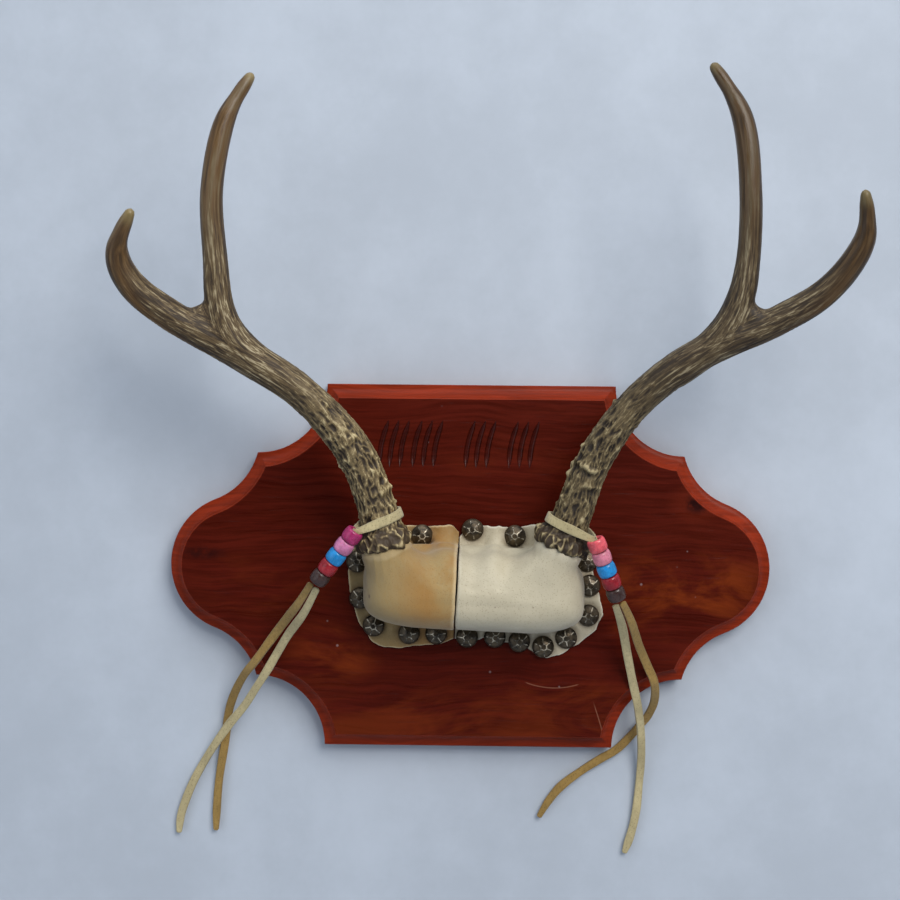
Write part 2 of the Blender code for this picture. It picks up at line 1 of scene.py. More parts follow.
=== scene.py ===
"""Antler plaque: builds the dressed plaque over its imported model, in metres, front towards -Y.

A shaped board with a routed edge and a row of carved strokes carries a forked pair of antlers, whose
base is covered by two leather pieces. Faceted tacks nail the leather down, and a lace with beads and
two free ends hangs from each antler.
"""
import math

import bmesh
import bpy
import numpy as np
from mathutils import Matrix, Vector
from mathutils.geometry import intersect_line_line_2d


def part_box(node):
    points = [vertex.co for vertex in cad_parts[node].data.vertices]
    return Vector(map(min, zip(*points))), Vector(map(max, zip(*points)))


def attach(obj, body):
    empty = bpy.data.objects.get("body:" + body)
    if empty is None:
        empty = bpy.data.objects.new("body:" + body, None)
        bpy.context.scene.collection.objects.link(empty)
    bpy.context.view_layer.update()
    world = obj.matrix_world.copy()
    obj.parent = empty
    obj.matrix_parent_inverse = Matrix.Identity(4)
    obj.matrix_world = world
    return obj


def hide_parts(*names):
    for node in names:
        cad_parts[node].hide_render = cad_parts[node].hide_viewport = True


bl_info = {
    "name": "Antler Plaque",
    "version": (1, 0, 0),
    "blender": (4, 5, 0),
    "location": "View3D > Sidebar > Plaque",
    "description": "Builds a wooden plaque with a forked pair of antlers, tacked leather and beaded laces",
    "category": "Add Mesh",
}

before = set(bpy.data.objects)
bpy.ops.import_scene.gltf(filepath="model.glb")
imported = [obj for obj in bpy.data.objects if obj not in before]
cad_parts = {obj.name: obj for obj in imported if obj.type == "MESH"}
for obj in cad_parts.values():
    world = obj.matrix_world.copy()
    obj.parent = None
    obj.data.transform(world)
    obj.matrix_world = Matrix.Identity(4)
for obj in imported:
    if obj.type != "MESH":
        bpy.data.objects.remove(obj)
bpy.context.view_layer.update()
MM = 0.001
BOARD_LOW, BOARD_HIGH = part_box("board")
FACE_Y = BOARD_LOW[1]

# The centre line of each antler: x, height above the board's face, z and radius in millimetres
ANTLER_LINES = {
    "left": {
        "beam": (
            (-41.7, 28, 16.6, 10.6), (-45.0, 29.5, 31.0, 9.0), (-55.8, 35, 58.7, 8.8),
            (-79.5, 41, 85.8, 8.0), (-108.0, 49, 104.5, 8.4), (-139.5, 57, 121.6, 7.2),
            (-156.0, 65, 135.0, 6.5), (-161.2, 72, 150.0, 5.0), (-152.8, 80, 167.4, 1.0),
        ),
        "tine": (
            (-97.0, 46, 97.5, 7.9), (-111.0, 51, 110.5, 8.3), (-117.3, 54.5, 125.0, 7.0),
            (-119.0, 58, 147.0, 5.7), (-120.2, 62, 177.9, 5.2), (-114.4, 63, 209.5, 4.7),
            (-102.0, 61, 232.4, 1.2),
        ),
    },
    "right": {
        "beam": (
            (44.7, 28, 17.4, 10.4), (49.8, 29.5, 31.0, 8.8), (58.9, 35, 56.2, 8.1),
            (77.1, 41, 82.9, 7.6), (104.0, 49, 105.0, 7.9), (139.0, 56, 121.2, 6.9),
            (161.5, 64, 135.5, 6.2), (175.2, 73, 157.0, 5.0), (173.5, 80, 178.7, 1.0),
        ),
        "tine": (
            (94.0, 46, 97.0, 7.5), (112.0, 51, 111.0, 7.8), (122.0, 54.5, 127.0, 7.0),
            (126.2, 58, 149.0, 5.5), (126.2, 62, 180.0, 5.2), (121.7, 63, 213.6, 4.8),
            (107.9, 61, 238.5, 1.3),
        ),
    },
}
# The filling of each fork: x, height above the face, z and radius in millimetres
WEBS = {"left": (-125.6, 54.5, 121.7, 5.8), "right": (129.4, 55.5, 123.8, 5.6)}

# Knobs that stand out of a beam's outline: length up the beam, turn round it in degrees, reach
LONE_KNOBS = {
    "left": ((24.0, 10.0, 1.9), (27.0, 20.0, 1.2), (15.0, -14.0, 1.2), (34.0, 60.0, 1.3)),
    "right": ((31.0, 178.0, 1.7), (45.0, 172.0, 1.5), (20.0, 160.0, 1.1), (37.0, 90.0, 1.5)),
}

# Ridges across a beam: length up the beam, from and to turn in degrees, and height in millimetres
CROSS_RIDGES = {
    "left": ((52.0, 60.0, 120.0, 0.5), (24.0, 30.0, 75.0, 0.5)),
    "right": ((38.5, 78.0, 172.0, 0.9), (30.5, 25.0, 95.0, 0.7)),
}

TAN_MARGIN = (
    (0.00, 1.48), (-0.20, 1.52), (-0.40, 1.48), (-0.60, 1.48), (-0.84, 1.33), (-1.06, 1.03),
    (-1.14, 0.53), (-1.14, -0.07), (-1.08, -0.72), (-1.00, -1.17), (-0.88, -1.51), (-0.69, -1.58),
    (-0.51, -1.52), (-0.29, -1.46), (-0.18, -1.33), (0.00, -1.10),
)
CREAM_MARGIN = (
    (-0.29, -1.28), (-0.01, -1.38), (0.13, -1.31), (0.26, -1.41), (0.41, -1.45), (0.52, -1.57),
    (0.63, -1.79), (0.81, -1.70), (0.97, -1.42), (1.12, -1.10), (1.19, -0.65), (1.16, -0.17),
    (1.11, 0.33), (1.07, 0.87), (0.94, 1.23), (0.74, 1.46), (0.57, 1.55), (0.38, 1.47),
    (0.07, 1.50), (-0.07, 1.38), (-0.16, 1.15), (-0.29, 1.05),
)

# Warmer places of the board's face: x, z, reach in x and z, and strength
AMBER_ZONES = (
    (-0.072, -0.046, 0.034, 0.024, 0.80), (0.050, -0.066, 0.056, 0.014, 0.50),
    (0.108, -0.014, 0.060, 0.036, 0.95), (-0.105, -0.010, 0.055, 0.022, 0.32),
    (0.030, 0.052, 0.060, 0.014, 0.18),
)

# Free lace ends: x, depth from the wall and z in millimetres, as they lie
TAIL_ROUTES = {
    "tail_left_front": (
        (-73.5, 51.6, -6.9), (-81.0, 41, -20.8), (-89.4, 31, -32.4), (-95.7, 24.8, -42.8),
        (-101.6, 22, -53), (-107.6, 18, -62.4), (-113.8, 13, -72.0), (-121.8, 8.8, -82),
        (-129.3, 5, -92.6), (-135.8, 2.6, -103), (-141.2, 2, -113), (-145.0, 2, -122),
        (-148.0, 2, -131.6), (-149.0, 2, -140.7),
    ),
    "tail_left_back": (
        (-76.2, 51.6, -4.8), (-83.6, 42, -16.0), (-91.6, 32, -26.4), (-99.2, 25, -36.6),
        (-107.2, 20.8, -47.6), (-113.8, 14.5, -56.0), (-119.2, 8.2, -65.5), (-122.8, 4.2, -75),
        (-124.4, 2.2, -84), (-125.4, 2, -93), (-127.2, 2, -104.3), (-128.6, 2, -115.2),
        (-129.4, 2, -126.7), (-129.8, 2, -139.2),
    ),
    "tail_right_front": (
        (70.0, 51.2, -13.5), (74.4, 41, -24.8), (78.4, 29.5, -40.6), (82.0, 22, -55.0),
        (85.4, 17.2, -68.5), (88.0, 10, -83.0), (89.0, 5.4, -97.9), (88.4, 2.6, -111.7),
        (87.1, 2, -126.4), (84.7, 2, -137.9), (81.2, 2, -148.3),
    ),
    "tail_right_back": (
        (73.3, 51.2, -12.2), (78.8, 42, -22.9), (83.8, 32, -35.8), (88.9, 25, -46.8),
        (93.2, 20.8, -56.6), (94.4, 12.5, -67.0), (92.2, 5.5, -76), (88.5, 2.6, -81.6),
        (83.8, 2, -87.4), (76.6, 2, -94.6), (68.0, 2, -99.8), (58.5, 2, -106), (49.1, 2, -113.2),
        (42.7, 2, -120.6), (36.9, 2, -130.2),
    ),
}
BEAD_COLOURS = {
    "magenta": (0.370, 0.020, 0.120), "pink": (0.560, 0.180, 0.340), "blue": (0.010, 0.230, 0.560),
    "red": (0.280, 0.008, 0.016), "brown": (0.042, 0.019, 0.015), "coral": (0.650, 0.090, 0.110),
    "rose": (0.600, 0.190, 0.260),
}
BEAD_STRINGS = {
    "left": ("magenta", "pink", "blue", "red", "brown"), "right": ("coral", "rose", "blue", "red", "brown"),
}


class BoardSettings(bpy.types.PropertyGroup):
    """Sizes and stain of the wooden board."""

    top_edge: bpy.props.FloatProperty(
        name="Top edge", description="Length of the straight top and bottom edges",
        default=0.1464, min=0.05, max=0.25, unit="LENGTH")
    cove: bpy.props.FloatProperty(
        name="Cove radius", description="Radius of the four hollow corners",
        default=0.0353, min=0.01, max=0.06, unit="LENGTH")
    neck: bpy.props.FloatProperty(
        name="Neck radius", description="Radius of the hollow between a corner and a side lobe",
        default=0.0352, min=0.01, max=0.06, unit="LENGTH")
    lobe: bpy.props.FloatProperty(
        name="Lobe radius", description="Radius of the round lobe at each side",
        default=0.0352, min=0.01, max=0.06, unit="LENGTH")
    edge: bpy.props.FloatProperty(
        name="Edge width", description="Width of the routed edge seen from the front",
        default=0.0070, min=0.002, max=0.02, unit="LENGTH")
    stroke_depth: bpy.props.FloatProperty(
        name="Stroke depth", description="Depth of the carved strokes",
        default=0.0010, min=0.0003, max=0.004, unit="LENGTH")
    face_stain: bpy.props.FloatVectorProperty(
        name="Face stain", description="Colour of the stained face",
        default=(0.059, 0.0050, 0.0018), min=0, max=1, subtype="COLOR")
    amber: bpy.props.FloatVectorProperty(
        name="Amber figure", description="Colour of the lighter figure in the lower half",
        default=(0.165, 0.026, 0.004), min=0, max=1, subtype="COLOR")
    edge_stain: bpy.props.FloatVectorProperty(
        name="Edge stain", description="Colour of the brighter routed edge",
        default=(0.190, 0.019, 0.0045), min=0, max=1, subtype="COLOR")


class AntlerSettings(bpy.types.PropertyGroup):
    """Relief and colours of the antlers."""

    voxel: bpy.props.FloatProperty(
        name="Detail", description="Size of the smallest faces of an antler",
        default=0.00058, min=0.0004, max=0.003, unit="LENGTH", precision=5)
    ridge_height: bpy.props.FloatProperty(
        name="Ridge height", description="Height of the ridges near the burr",
        default=0.00072, min=0.0, max=0.003, unit="LENGTH", precision=5)
    pearl_count: bpy.props.IntProperty(
        name="Pearls", description="Number of small bony bumps on the lower beam", default=34, min=0, max=200)
    groove: bpy.props.FloatVectorProperty(
        name="Groove", description="Colour in the grooves", default=(0.020, 0.012, 0.006),
        min=0, max=1, subtype="COLOR")
    bone: bpy.props.FloatVectorProperty(
        name="Bone", description="Colour between groove and ridge", default=(0.150, 0.106, 0.048),
        min=0, max=1, subtype="COLOR")
    ridge: bpy.props.FloatVectorProperty(
        name="Ridge", description="Colour of the worn ridges", default=(0.400, 0.322, 0.172),
        min=0, max=1, subtype="COLOR")
    tip: bpy.props.FloatVectorProperty(
        name="Tip", description="Colour of the smooth tips", default=(0.094, 0.050, 0.017),
        min=0, max=1, subtype="COLOR")


class LeatherSettings(bpy.types.PropertyGroup):
    """Sizes and colours of the two leather covers."""

    thickness: bpy.props.FloatProperty(
        name="Leather", description="Thickness of the leather", default=0.0016, min=0.0005, max=0.004,
        unit="LENGTH", precision=4)
    width: bpy.props.FloatProperty(
        name="Mound width", description="Width of the covered mound", default=0.1088, min=0.05, max=0.2,
        unit="LENGTH")
    height: bpy.props.FloatProperty(
        name="Mound height", description="Height of the covered mound", default=0.0400, min=0.02, max=0.1,
        unit="LENGTH")
    rise: bpy.props.FloatProperty(
        name="Mound rise", description="How far the mound stands out", default=0.0345, min=0.01, max=0.06,
        unit="LENGTH")
    seam_gap: bpy.props.FloatProperty(
        name="Seam gap", description="Gap between the two leather pieces", default=0.0007, min=0.0003,
        max=0.003, unit="LENGTH", precision=5)
    tan: bpy.props.FloatVectorProperty(
        name="Tan", description="Colour of the tan suede", default=(0.287, 0.204, 0.086),
        min=0, max=1, subtype="COLOR")
    cream: bpy.props.FloatVectorProperty(
        name="Cream", description="Colour of the cream leather", default=(0.420, 0.370, 0.262),
        min=0, max=1, subtype="COLOR")


class TrimSettings(bpy.types.PropertyGroup):
    """Sizes and colours of the tacks, laces and beads."""

    tack: bpy.props.FloatProperty(
        name="Tack", description="Diameter of a tack's head", default=0.0110, min=0.005, max=0.02,
        unit="LENGTH")
    tack_rise: bpy.props.FloatProperty(
        name="Tack rise", description="Height of a tack's head", default=0.0036, min=0.001, max=0.008,
        unit="LENGTH")
    lace: bpy.props.FloatProperty(
        name="Lace", description="Width of a lace", default=0.0042, min=0.002, max=0.01, unit="LENGTH")
    lace_thickness: bpy.props.FloatProperty(
        name="Lace thickness", description="Thickness of a lace", default=0.0013, min=0.0005, max=0.003,
        unit="LENGTH", precision=4)
    bead: bpy.props.FloatProperty(
        name="Bead", description="Diameter of a bead", default=0.0091, min=0.004, max=0.02, unit="LENGTH")
    bead_length: bpy.props.FloatProperty(
        name="Bead length", description="Length of a bead", default=0.0064, min=0.003, max=0.02,
        unit="LENGTH")
    pale: bpy.props.FloatVectorProperty(
        name="Pale lace", description="Colour of the pale lace", default=(0.480, 0.400, 0.215),
        min=0, max=1, subtype="COLOR")
    gold: bpy.props.FloatVectorProperty(
        name="Golden lace", description="Colour of the golden lace", default=(0.330, 0.205, 0.055),
        min=0, max=1, subtype="COLOR")


class StageSettings(bpy.types.PropertyGroup):
    """Camera, light and backdrop."""

    camera_place: bpy.props.FloatVectorProperty(
        name="Camera", description="Where the camera stands", default=(-0.0024, -0.7500, 0.0771),
        subtype="TRANSLATION", unit="LENGTH")
    camera_turn: bpy.props.FloatVectorProperty(
        name="Camera turn", description="Pan, tilt and roll of the camera", default=(-0.0111, -0.0244, 0.0101),
        subtype="EULER", unit="ROTATION")
    lens: bpy.props.FloatProperty(
        name="Lens", description="Focal length on a 36 mm sensor", default=58.3, min=10, max=200)
    wall: bpy.props.FloatVectorProperty(
        name="Wall", description="Colour of the wall", default=(0.430, 0.474, 0.536), min=0, max=1,
        subtype="COLOR")


# Small helpers for modelling


def take(piece):
    """Leaves one object selected and active, in object mode."""
    if bpy.context.mode != "OBJECT":
        bpy.ops.object.mode_set(mode="OBJECT")
    bpy.ops.object.select_all(action="DESELECT")
    piece.select_set(True)
    bpy.context.view_layer.objects.active = piece


def start():
    """Deselects everything, so that an added primitive is alone."""
    if bpy.context.mode != "OBJECT":
        bpy.ops.object.mode_set(mode="OBJECT")
    bpy.ops.object.select_all(action="DESELECT")


def added(name):
    """The object that was just added, under its own name."""
    piece = bpy.context.active_object
    piece.name = name
    piece.data.name = name
    return piece


def apply_modifier(piece, kind, **values):
    """Adds a modifier and applies it at once."""
    take(piece)
    modifier = piece.modifiers.new(kind.lower(), kind)
    for key, value in values.items():
        setattr(modifier, key, value)
    bpy.ops.object.modifier_apply(modifier=modifier.name)


def apply_place(piece):
    """Moves an object's place into its mesh."""
    take(piece)
    bpy.ops.object.transform_apply(location=True, rotation=True, scale=True)


def shade_by_angle(piece, degrees):
    """Smooth shading with sharp edges past an angle."""
    take(piece)
    bpy.ops.object.shade_smooth_by_angle(angle=math.radians(degrees))


def edit(piece):
    """Opens a piece in edit mode with nothing selected and returns its editable mesh."""
    take(piece)
    bpy.ops.object.mode_set(mode="EDIT")
    bpy.ops.mesh.select_all(action="DESELECT")
    return bmesh.from_edit_mesh(piece.data)


def leave_edit():
    """Back to object mode."""
    bpy.ops.object.mode_set(mode="OBJECT")


def face_outwards(piece):
    """Turns every face of a closed mesh outwards."""
    take(piece)
    bpy.ops.object.mode_set(mode="EDIT")
    bpy.ops.mesh.select_all(action="SELECT")
    bpy.ops.mesh.normals_make_consistent(inside=False)
    bpy.ops.object.mode_set(mode="OBJECT")


def points_of(piece):
    """Every vertex place of a piece as an array."""
    flat = np.empty(len(piece.data.vertices) * 3)
    piece.data.vertices.foreach_get("co", flat)
    return flat.reshape(-1, 3)


def put_points(piece, points):
    """Writes every vertex place of a piece."""
    piece.data.vertices.foreach_set("co", np.ascontiguousarray(points, dtype=float).ravel())
    piece.data.update()


def normals_of(piece):
    """Every vertex normal of a piece as an array."""
    flat = np.empty(len(piece.data.vertices) * 3)
    piece.data.vertex_normals.foreach_get("vector", flat)
    return flat.reshape(-1, 3)


def put_values(piece, name, values):
    """Stores one number for each vertex, for the piece's material to read."""
    store = piece.data.attributes.new(name, "FLOAT", "POINT")
    store.data.foreach_set("value", np.ascontiguousarray(values, dtype=float))


def put_vectors(piece, name, values):
    """Stores a place for each vertex, for the piece's material to read."""
    store = piece.data.attributes.new(name, "FLOAT_VECTOR", "POINT")
    store.data.foreach_set("vector", np.ascontiguousarray(values, dtype=float).ravel())


def sheath(name, rings, closed=False):
    """A closed skin over rings of equal length, capped at both ends unless it loops."""
    bm = bmesh.new()
    rows = [[bm.verts.new(point) for point in ring] for ring in rings]
    pairs = list(zip(rows, rows[1:]))
    if closed:
        pairs.append((rows[-1], rows[0]))
    for low, high in pairs:
        for i in range(len(low)):
            j = (i + 1) % len(low)
            bm.faces.new((low[i], low[j], high[j], high[i]))
    if not closed:
        bm.faces.new(rows[0][::-1])
        bm.faces.new(rows[-1])
    bmesh.ops.recalc_face_normals(bm, faces=bm.faces)
    mesh = bpy.data.meshes.new(name)
    bm.to_mesh(mesh)
    bm.free()
    piece = bpy.data.objects.new(name, mesh)
    bpy.context.scene.collection.objects.link(piece)
    return piece


def smooth_line(points, steps):
    """Catmull-Rom curve through points of any length, with steps samples on each span."""
    last = len(points) - 1
    line = []
    for i in range(last):
        a = np.array(points[max(i - 1, 0)], float)
        b = np.array(points[i], float)
        c = np.array(points[i + 1], float)
        d = np.array(points[min(i + 2, last)], float)
        for k in range(steps):
            t = k / steps
            line.append(0.5 * (2 * b + (c - a) * t + (2 * a - 5 * b + 4 * c - d) * t * t
                               + (3 * b - a - 3 * c + d) * t ** 3))
    line.append(np.array(points[last], float))
    return np.array(line)


def ease(value, low, high):
    """0 below low, 1 above high and a smooth step between."""
    t = np.clip((np.asarray(value, float) - low) / (high - low), 0, 1)
    return t * t * (3 - 2 * t)


# Repeatable noise on arrays of points


def scatter(cells, seed):
    """A number from 0 to 1 for each whole-number cell, always the same for one seed."""
    n = cells[..., 0] * 73856093 ^ cells[..., 1] * 19349663 ^ cells[..., 2] * 83492791 ^ (seed * 7919 + 13)
    n = (n ^ (n >> 13)) * 1274126177
    n = (n ^ (n >> 16)) & 0xFFFFF
    return n / 0xFFFFF


def ripple(points, seed=0):
    """Smooth noise from about -1 to 1 at each point, one lump for each unit of length."""
    cell = np.floor(points).astype(np.int64)
    part = points - cell
    fade = part * part * (3 - 2 * part)
    total = np.zeros(len(points))
    for corner in np.ndindex(2, 2, 2):
        at = cell + np.array(corner)
        away = part - np.array(corner)
        slope = sum((scatter(at, seed * 3 + k) * 2 - 1) * away[:, k] for k in range(3))
        weight = np.ones(len(points))
        for k in range(3):
            weight *= fade[:, k] if corner[k] else 1 - fade[:, k]
        total += slope * weight
    return total * 1.8


def cells(points, seed=0):
    """Distance to the nearest and to the second nearest of one stray point in each unit cell."""
    cell = np.floor(points).astype(np.int64)
    first = np.full(len(points), 9.0)
    second = np.full(len(points), 9.0)
    for shift in np.ndindex(3, 3, 3):
        at = cell + np.array(shift) - 1
        spot = np.stack([at[:, k] + scatter(at, seed * 3 + k + 50) for k in range(3)], axis=1)
        away = np.linalg.norm(spot - points, axis=1)
        second = np.minimum(second, np.maximum(first, away))
        first = np.minimum(first, away)
    return first, second


# Material building


class Graph:
    """Adds shader nodes to a tree and joins them."""

    def __init__(self, tree):
        self.tree = tree
        self.count = 0

    def add(self, kind, inputs=None, **settings):
        """A node with its settings, and its inputs set or linked."""
        node = self.tree.nodes.new(kind)
        node.location = (180 * (self.count % 12) - 2200, -220 * (self.count // 12))
        self.count += 1
        for key, value in settings.items():
            setattr(node, key, value)
        for key, value in (inputs or {}).items():
            self.join(value, node.inputs[key])
        return node

    def join(self, value, socket):
        """Links a socket to an input, or sets the input's own value."""
        if isinstance(value, bpy.types.NodeSocket):
            self.tree.links.new(value, socket)
        else:
            socket.default_value = value

    def math(self, operation, a, b=0.0, clamp=False):
        """The result of a Math node."""
        return self.add("ShaderNodeMath", {0: a, 1: b}, operation=operation, use_clamp=clamp).outputs[0]

    def remap(self, value, low, high, to_low=0.0, to_high=1.0):
        """A value eased from one range to another."""
        return self.add(
            "ShaderNodeMapRange",
            {"Value": value, "From Min": low, "From Max": high, "To Min": to_low, "To Max": to_high},
            interpolation_type="SMOOTHSTEP").outputs["Result"]

    def mix(self, share, a, b, blend="MIX"):
        """A mix of two colours."""
        node = self.add("ShaderNodeMix", data_type="RGBA", blend_type=blend)
        self.join(share, node.inputs[0])
        self.join(a, node.inputs[6])
        self.join(b, node.inputs[7])
        return node.outputs[2]

    def stretch(self, vector, scale):
        """Coordinates multiplied by a scale in each direction."""
        return self.add("ShaderNodeVectorMath", {0: vector, 1: scale}, operation="MULTIPLY").outputs[0]

    def noise(self, vector, scale, detail=4.0, roughness=0.55, distortion=0.0):
        """A noise texture's value."""
        return self.add(
            "ShaderNodeTexNoise",
            {"Vector": vector, "Scale": scale, "Detail": detail, "Roughness": roughness,
             "Distortion": distortion}).outputs[0]

    def spots(self, vector, scale, size):
        """1 in small round spots strewn over the surface and 0 between them."""
        node = self.add("ShaderNodeTexVoronoi", {"Vector": vector, "Scale": scale}, feature="F1")
        return self.remap(node.outputs["Distance"], size, size * 0.5)

    def places(self):
        """Object coordinates."""
        return self.add("ShaderNodeTexCoord").outputs["Object"]

    def blend(self, share, a, b):
        """A mix of two numbers."""
        node = self.add("ShaderNodeMix", data_type="FLOAT")
        self.join(share, node.inputs[0])
        self.join(a, node.inputs[2])
        self.join(b, node.inputs[3])
        return node.outputs[0]

    def attribute(self, name):
        """A number stored on the piece."""
        return self.add("ShaderNodeAttribute", attribute_name=name).outputs["Fac"]

    def vectors(self, name):
        """A place stored on the piece."""
        return self.add("ShaderNodeAttribute", attribute_name=name).outputs["Vector"]


def new_group(name, inputs, outputs):
    """An empty node group with named sockets, and its graph, input and output nodes."""
    tree = bpy.data.node_groups.new(name, "ShaderNodeTree")
    for title, kind, value in inputs:
        socket = tree.interface.new_socket(title, in_out="INPUT", socket_type=kind)
        socket.default_value = value
    for title, kind in outputs:
        tree.interface.new_socket(title, in_out="OUTPUT", socket_type=kind)
    graph = Graph(tree)
    return tree, graph, graph.add("NodeGroupInput"), graph.add("NodeGroupOutput")


def wood_group():
    """Stained wood with grain along X: streaks, growth figure, an amber zone and pores."""
    name = "Stained Wood"
    if name in bpy.data.node_groups:
        return bpy.data.node_groups[name]
    tree, g, given, result = new_group(
        name,
        [("Vector", "NodeSocketVector", (0, 0, 0)), ("Stain", "NodeSocketColor", (0.1, 0.02, 0.01, 1)),
         ("Amber", "NodeSocketColor", (0.3, 0.08, 0.02, 1)), ("Amber Share", "NodeSocketFloat", 0.0),
         ("Contrast", "NodeSocketFloat", 1.0)],
        [("Color", "NodeSocketColor"), ("Roughness", "NodeSocketFloat"), ("Height", "NodeSocketFloat")])
    place = given.outputs["Vector"]
    bend = g.noise(place, 9.0, 3.0, 0.5)
    lift = g.math("MULTIPLY", g.math("SUBTRACT", bend, 0.5), 0.030)
    bent = g.add("ShaderNodeVectorMath", {0: place, 1: g.add("ShaderNodeCombineXYZ", {"Z": lift}).outputs[0]},
                 operation="ADD").outputs[0]
    fine = g.noise(g.stretch(bent, (24.0, 60.0, 480.0)), 1.0, 6.0, 0.70)
    broad = g.noise(g.stretch(bent, (4.0, 30.0, 44.0)), 1.0, 4.0, 0.6, 0.6)
    swirl = g.noise(g.stretch(bent, (11.0, 20.0, 30.0)), 1.0, 5.0, 0.6, 2.2)
    pores = g.noise(g.stretch(place, (45.0, 300.0, 1500.0)), 1.0, 2.0, 0.5)
    tone = g.math("ADD", g.math("MULTIPLY", g.remap(fine, 0.34, 0.68), 0.75),
                  g.math("MULTIPLY", g.remap(broad, 0.30, 0.72), 0.40))
    shade = g.remap(g.math("MULTIPLY", tone, given.outputs["Contrast"]), 0.0, 1.15, 0.72, 1.28)
    stained = g.mix(1.0, given.outputs["Stain"], g.add(
        "ShaderNodeCombineColor", {"Red": shade, "Green": shade, "Blue": shade}).outputs[0], "MULTIPLY")
    glow = g.math("MULTIPLY", g.remap(swirl, 0.37, 0.66), given.outputs["Amber Share"], clamp=True)
    stained = g.mix(glow, stained, given.outputs["Amber"])
    pore_mark = g.remap(pores, 0.68, 0.78)
    stained = g.mix(g.math("MULTIPLY", pore_mark, 0.22), stained, (0.020, 0.004, 0.003, 1))
    g.join(stained, result.inputs["Color"])
    g.join(g.remap(g.math("ADD", fine, g.math("MULTIPLY", broad, 0.5)), 0.4, 1.1, 0.24, 0.40),
           result.inputs["Roughness"])
    g.join(g.math("SUBTRACT", g.math("MULTIPLY", fine, 0.5), g.math("MULTIPLY", pore_mark, 0.5)),
           result.inputs["Height"])
    return tree


def leather_group():
    """Hide: broad patches, fine fibre and pores."""
    name = "Hide"
    if name in bpy.data.node_groups:
        return bpy.data.node_groups[name]
    tree, g, given, result = new_group(
        name,
        [("Vector", "NodeSocketVector", (0, 0, 0)), ("Color", "NodeSocketColor", (0.5, 0.4, 0.2, 1)),
         ("Deep", "NodeSocketColor", (0.4, 0.2, 0.1, 1)), ("Patches", "NodeSocketFloat", 0.5),
         ("Pores", "NodeSocketFloat", 0.5)],
        [("Color", "NodeSocketColor"), ("Roughness", "NodeSocketFloat"), ("Height", "NodeSocketFloat")])
    place = given.outputs["Vector"]
    patch = g.noise(place, 45.0, 5.0, 0.6)
    fibre = g.noise(g.stretch(place, (760.0, 760.0, 260.0)), 1.0, 5.0, 0.7)
    nap = g.noise(g.stretch(place, (900.0, 900.0, 500.0)), 1.0, 3.0, 0.6)
    pit = g.add("ShaderNodeTexVoronoi", {"Vector": place, "Scale": 900.0}, feature="F1").outputs["Distance"]
    pore = g.math("MULTIPLY", g.remap(pit, 0.35, 0.10), given.outputs["Pores"])
    share = g.math("MULTIPLY", g.remap(patch, 0.35, 0.70), given.outputs["Patches"])
    colour = g.mix(share, given.outputs["Color"], given.outputs["Deep"])
    colour = g.mix(g.remap(fibre, 0.35, 0.72, 0.0, 0.50), colour, given.outputs["Deep"])
    colour = g.mix(g.math("MULTIPLY", pore, 0.45), colour, given.outputs["Deep"], "MULTIPLY")
    g.join(colour, result.inputs["Color"])
    g.join(g.remap(fibre, 0.3, 0.7, 0.62, 0.86), result.inputs["Roughness"])
    g.join(g.math("SUBTRACT", g.math("ADD", g.math("MULTIPLY", fibre, 0.5), g.math("MULTIPLY", nap, 0.3)),
                  g.math("MULTIPLY", pore, 0.8)), result.inputs["Height"])
    return tree


def new_material(name, roughness=0.5, metallic=0.0, **shader_values):
    """A material with its graph and its Principled shader, constants on the shader's own sockets."""
    material = bpy.data.materials.new(name)
    material.use_nodes = True
    shader = material.node_tree.nodes["Principled BSDF"]
    shader.inputs["Roughness"].default_value = roughness
    shader.inputs["Metallic"].default_value = metallic
    for key, value in shader_values.items():
        shader.inputs[key.replace("_", " ")].default_value = value
    return material, Graph(material.node_tree), shader


def raise_surface(g, shader, height, strength, distance):
    """Joins a height to the shader through a Bump node."""
    bump = g.add("ShaderNodeBump", {"Strength": strength, "Distance": distance, "Height": height})
    g.join(bump.outputs["Normal"], shader.inputs["Normal"])


def blot(g, place, x, z, reach_x, reach_z):
    """1 at a spot on the board's face and 0 past its reach."""
    away = g.add("ShaderNodeVectorMath", {0: place, 1: (x, FACE_Y, z)}, operation="SUBTRACT").outputs[0]
    near = g.stretch(away, (1 / reach_x, 0.0, 1 / reach_z))
    far = g.add("ShaderNodeVectorMath", {0: near}, operation="LENGTH").outputs["Value"]
    return g.remap(far, 1.0, 0.25)


def arc_scratch(g, place, x, z, radius, width, low_x, high_x, upper=True):
    """1 along a thin arc on the board's face, between two places in x."""
    away = g.add("ShaderNodeVectorMath", {0: place, 1: (x, FACE_Y, z)}, operation="SUBTRACT").outputs[0]
    flat = g.stretch(away, (1.0, 0.0, 1.0))
    far = g.add("ShaderNodeVectorMath", {0: flat}, operation="LENGTH").outputs["Value"]
    line = g.remap(g.math("ABSOLUTE", g.math("SUBTRACT", far, radius)), width, width * 0.3)
    split = g.add("ShaderNodeSeparateXYZ", {0: place})
    inside = g.math("MULTIPLY", g.remap(split.outputs["X"], low_x, low_x + 0.002),
                    g.remap(split.outputs["X"], high_x, high_x - 0.002))
    side = g.remap(split.outputs["Z"], z, z + 0.001) if upper else g.remap(split.outputs["Z"], z, z - 0.001)
    return g.math("MULTIPLY", line, g.math("MULTIPLY", inside, side))


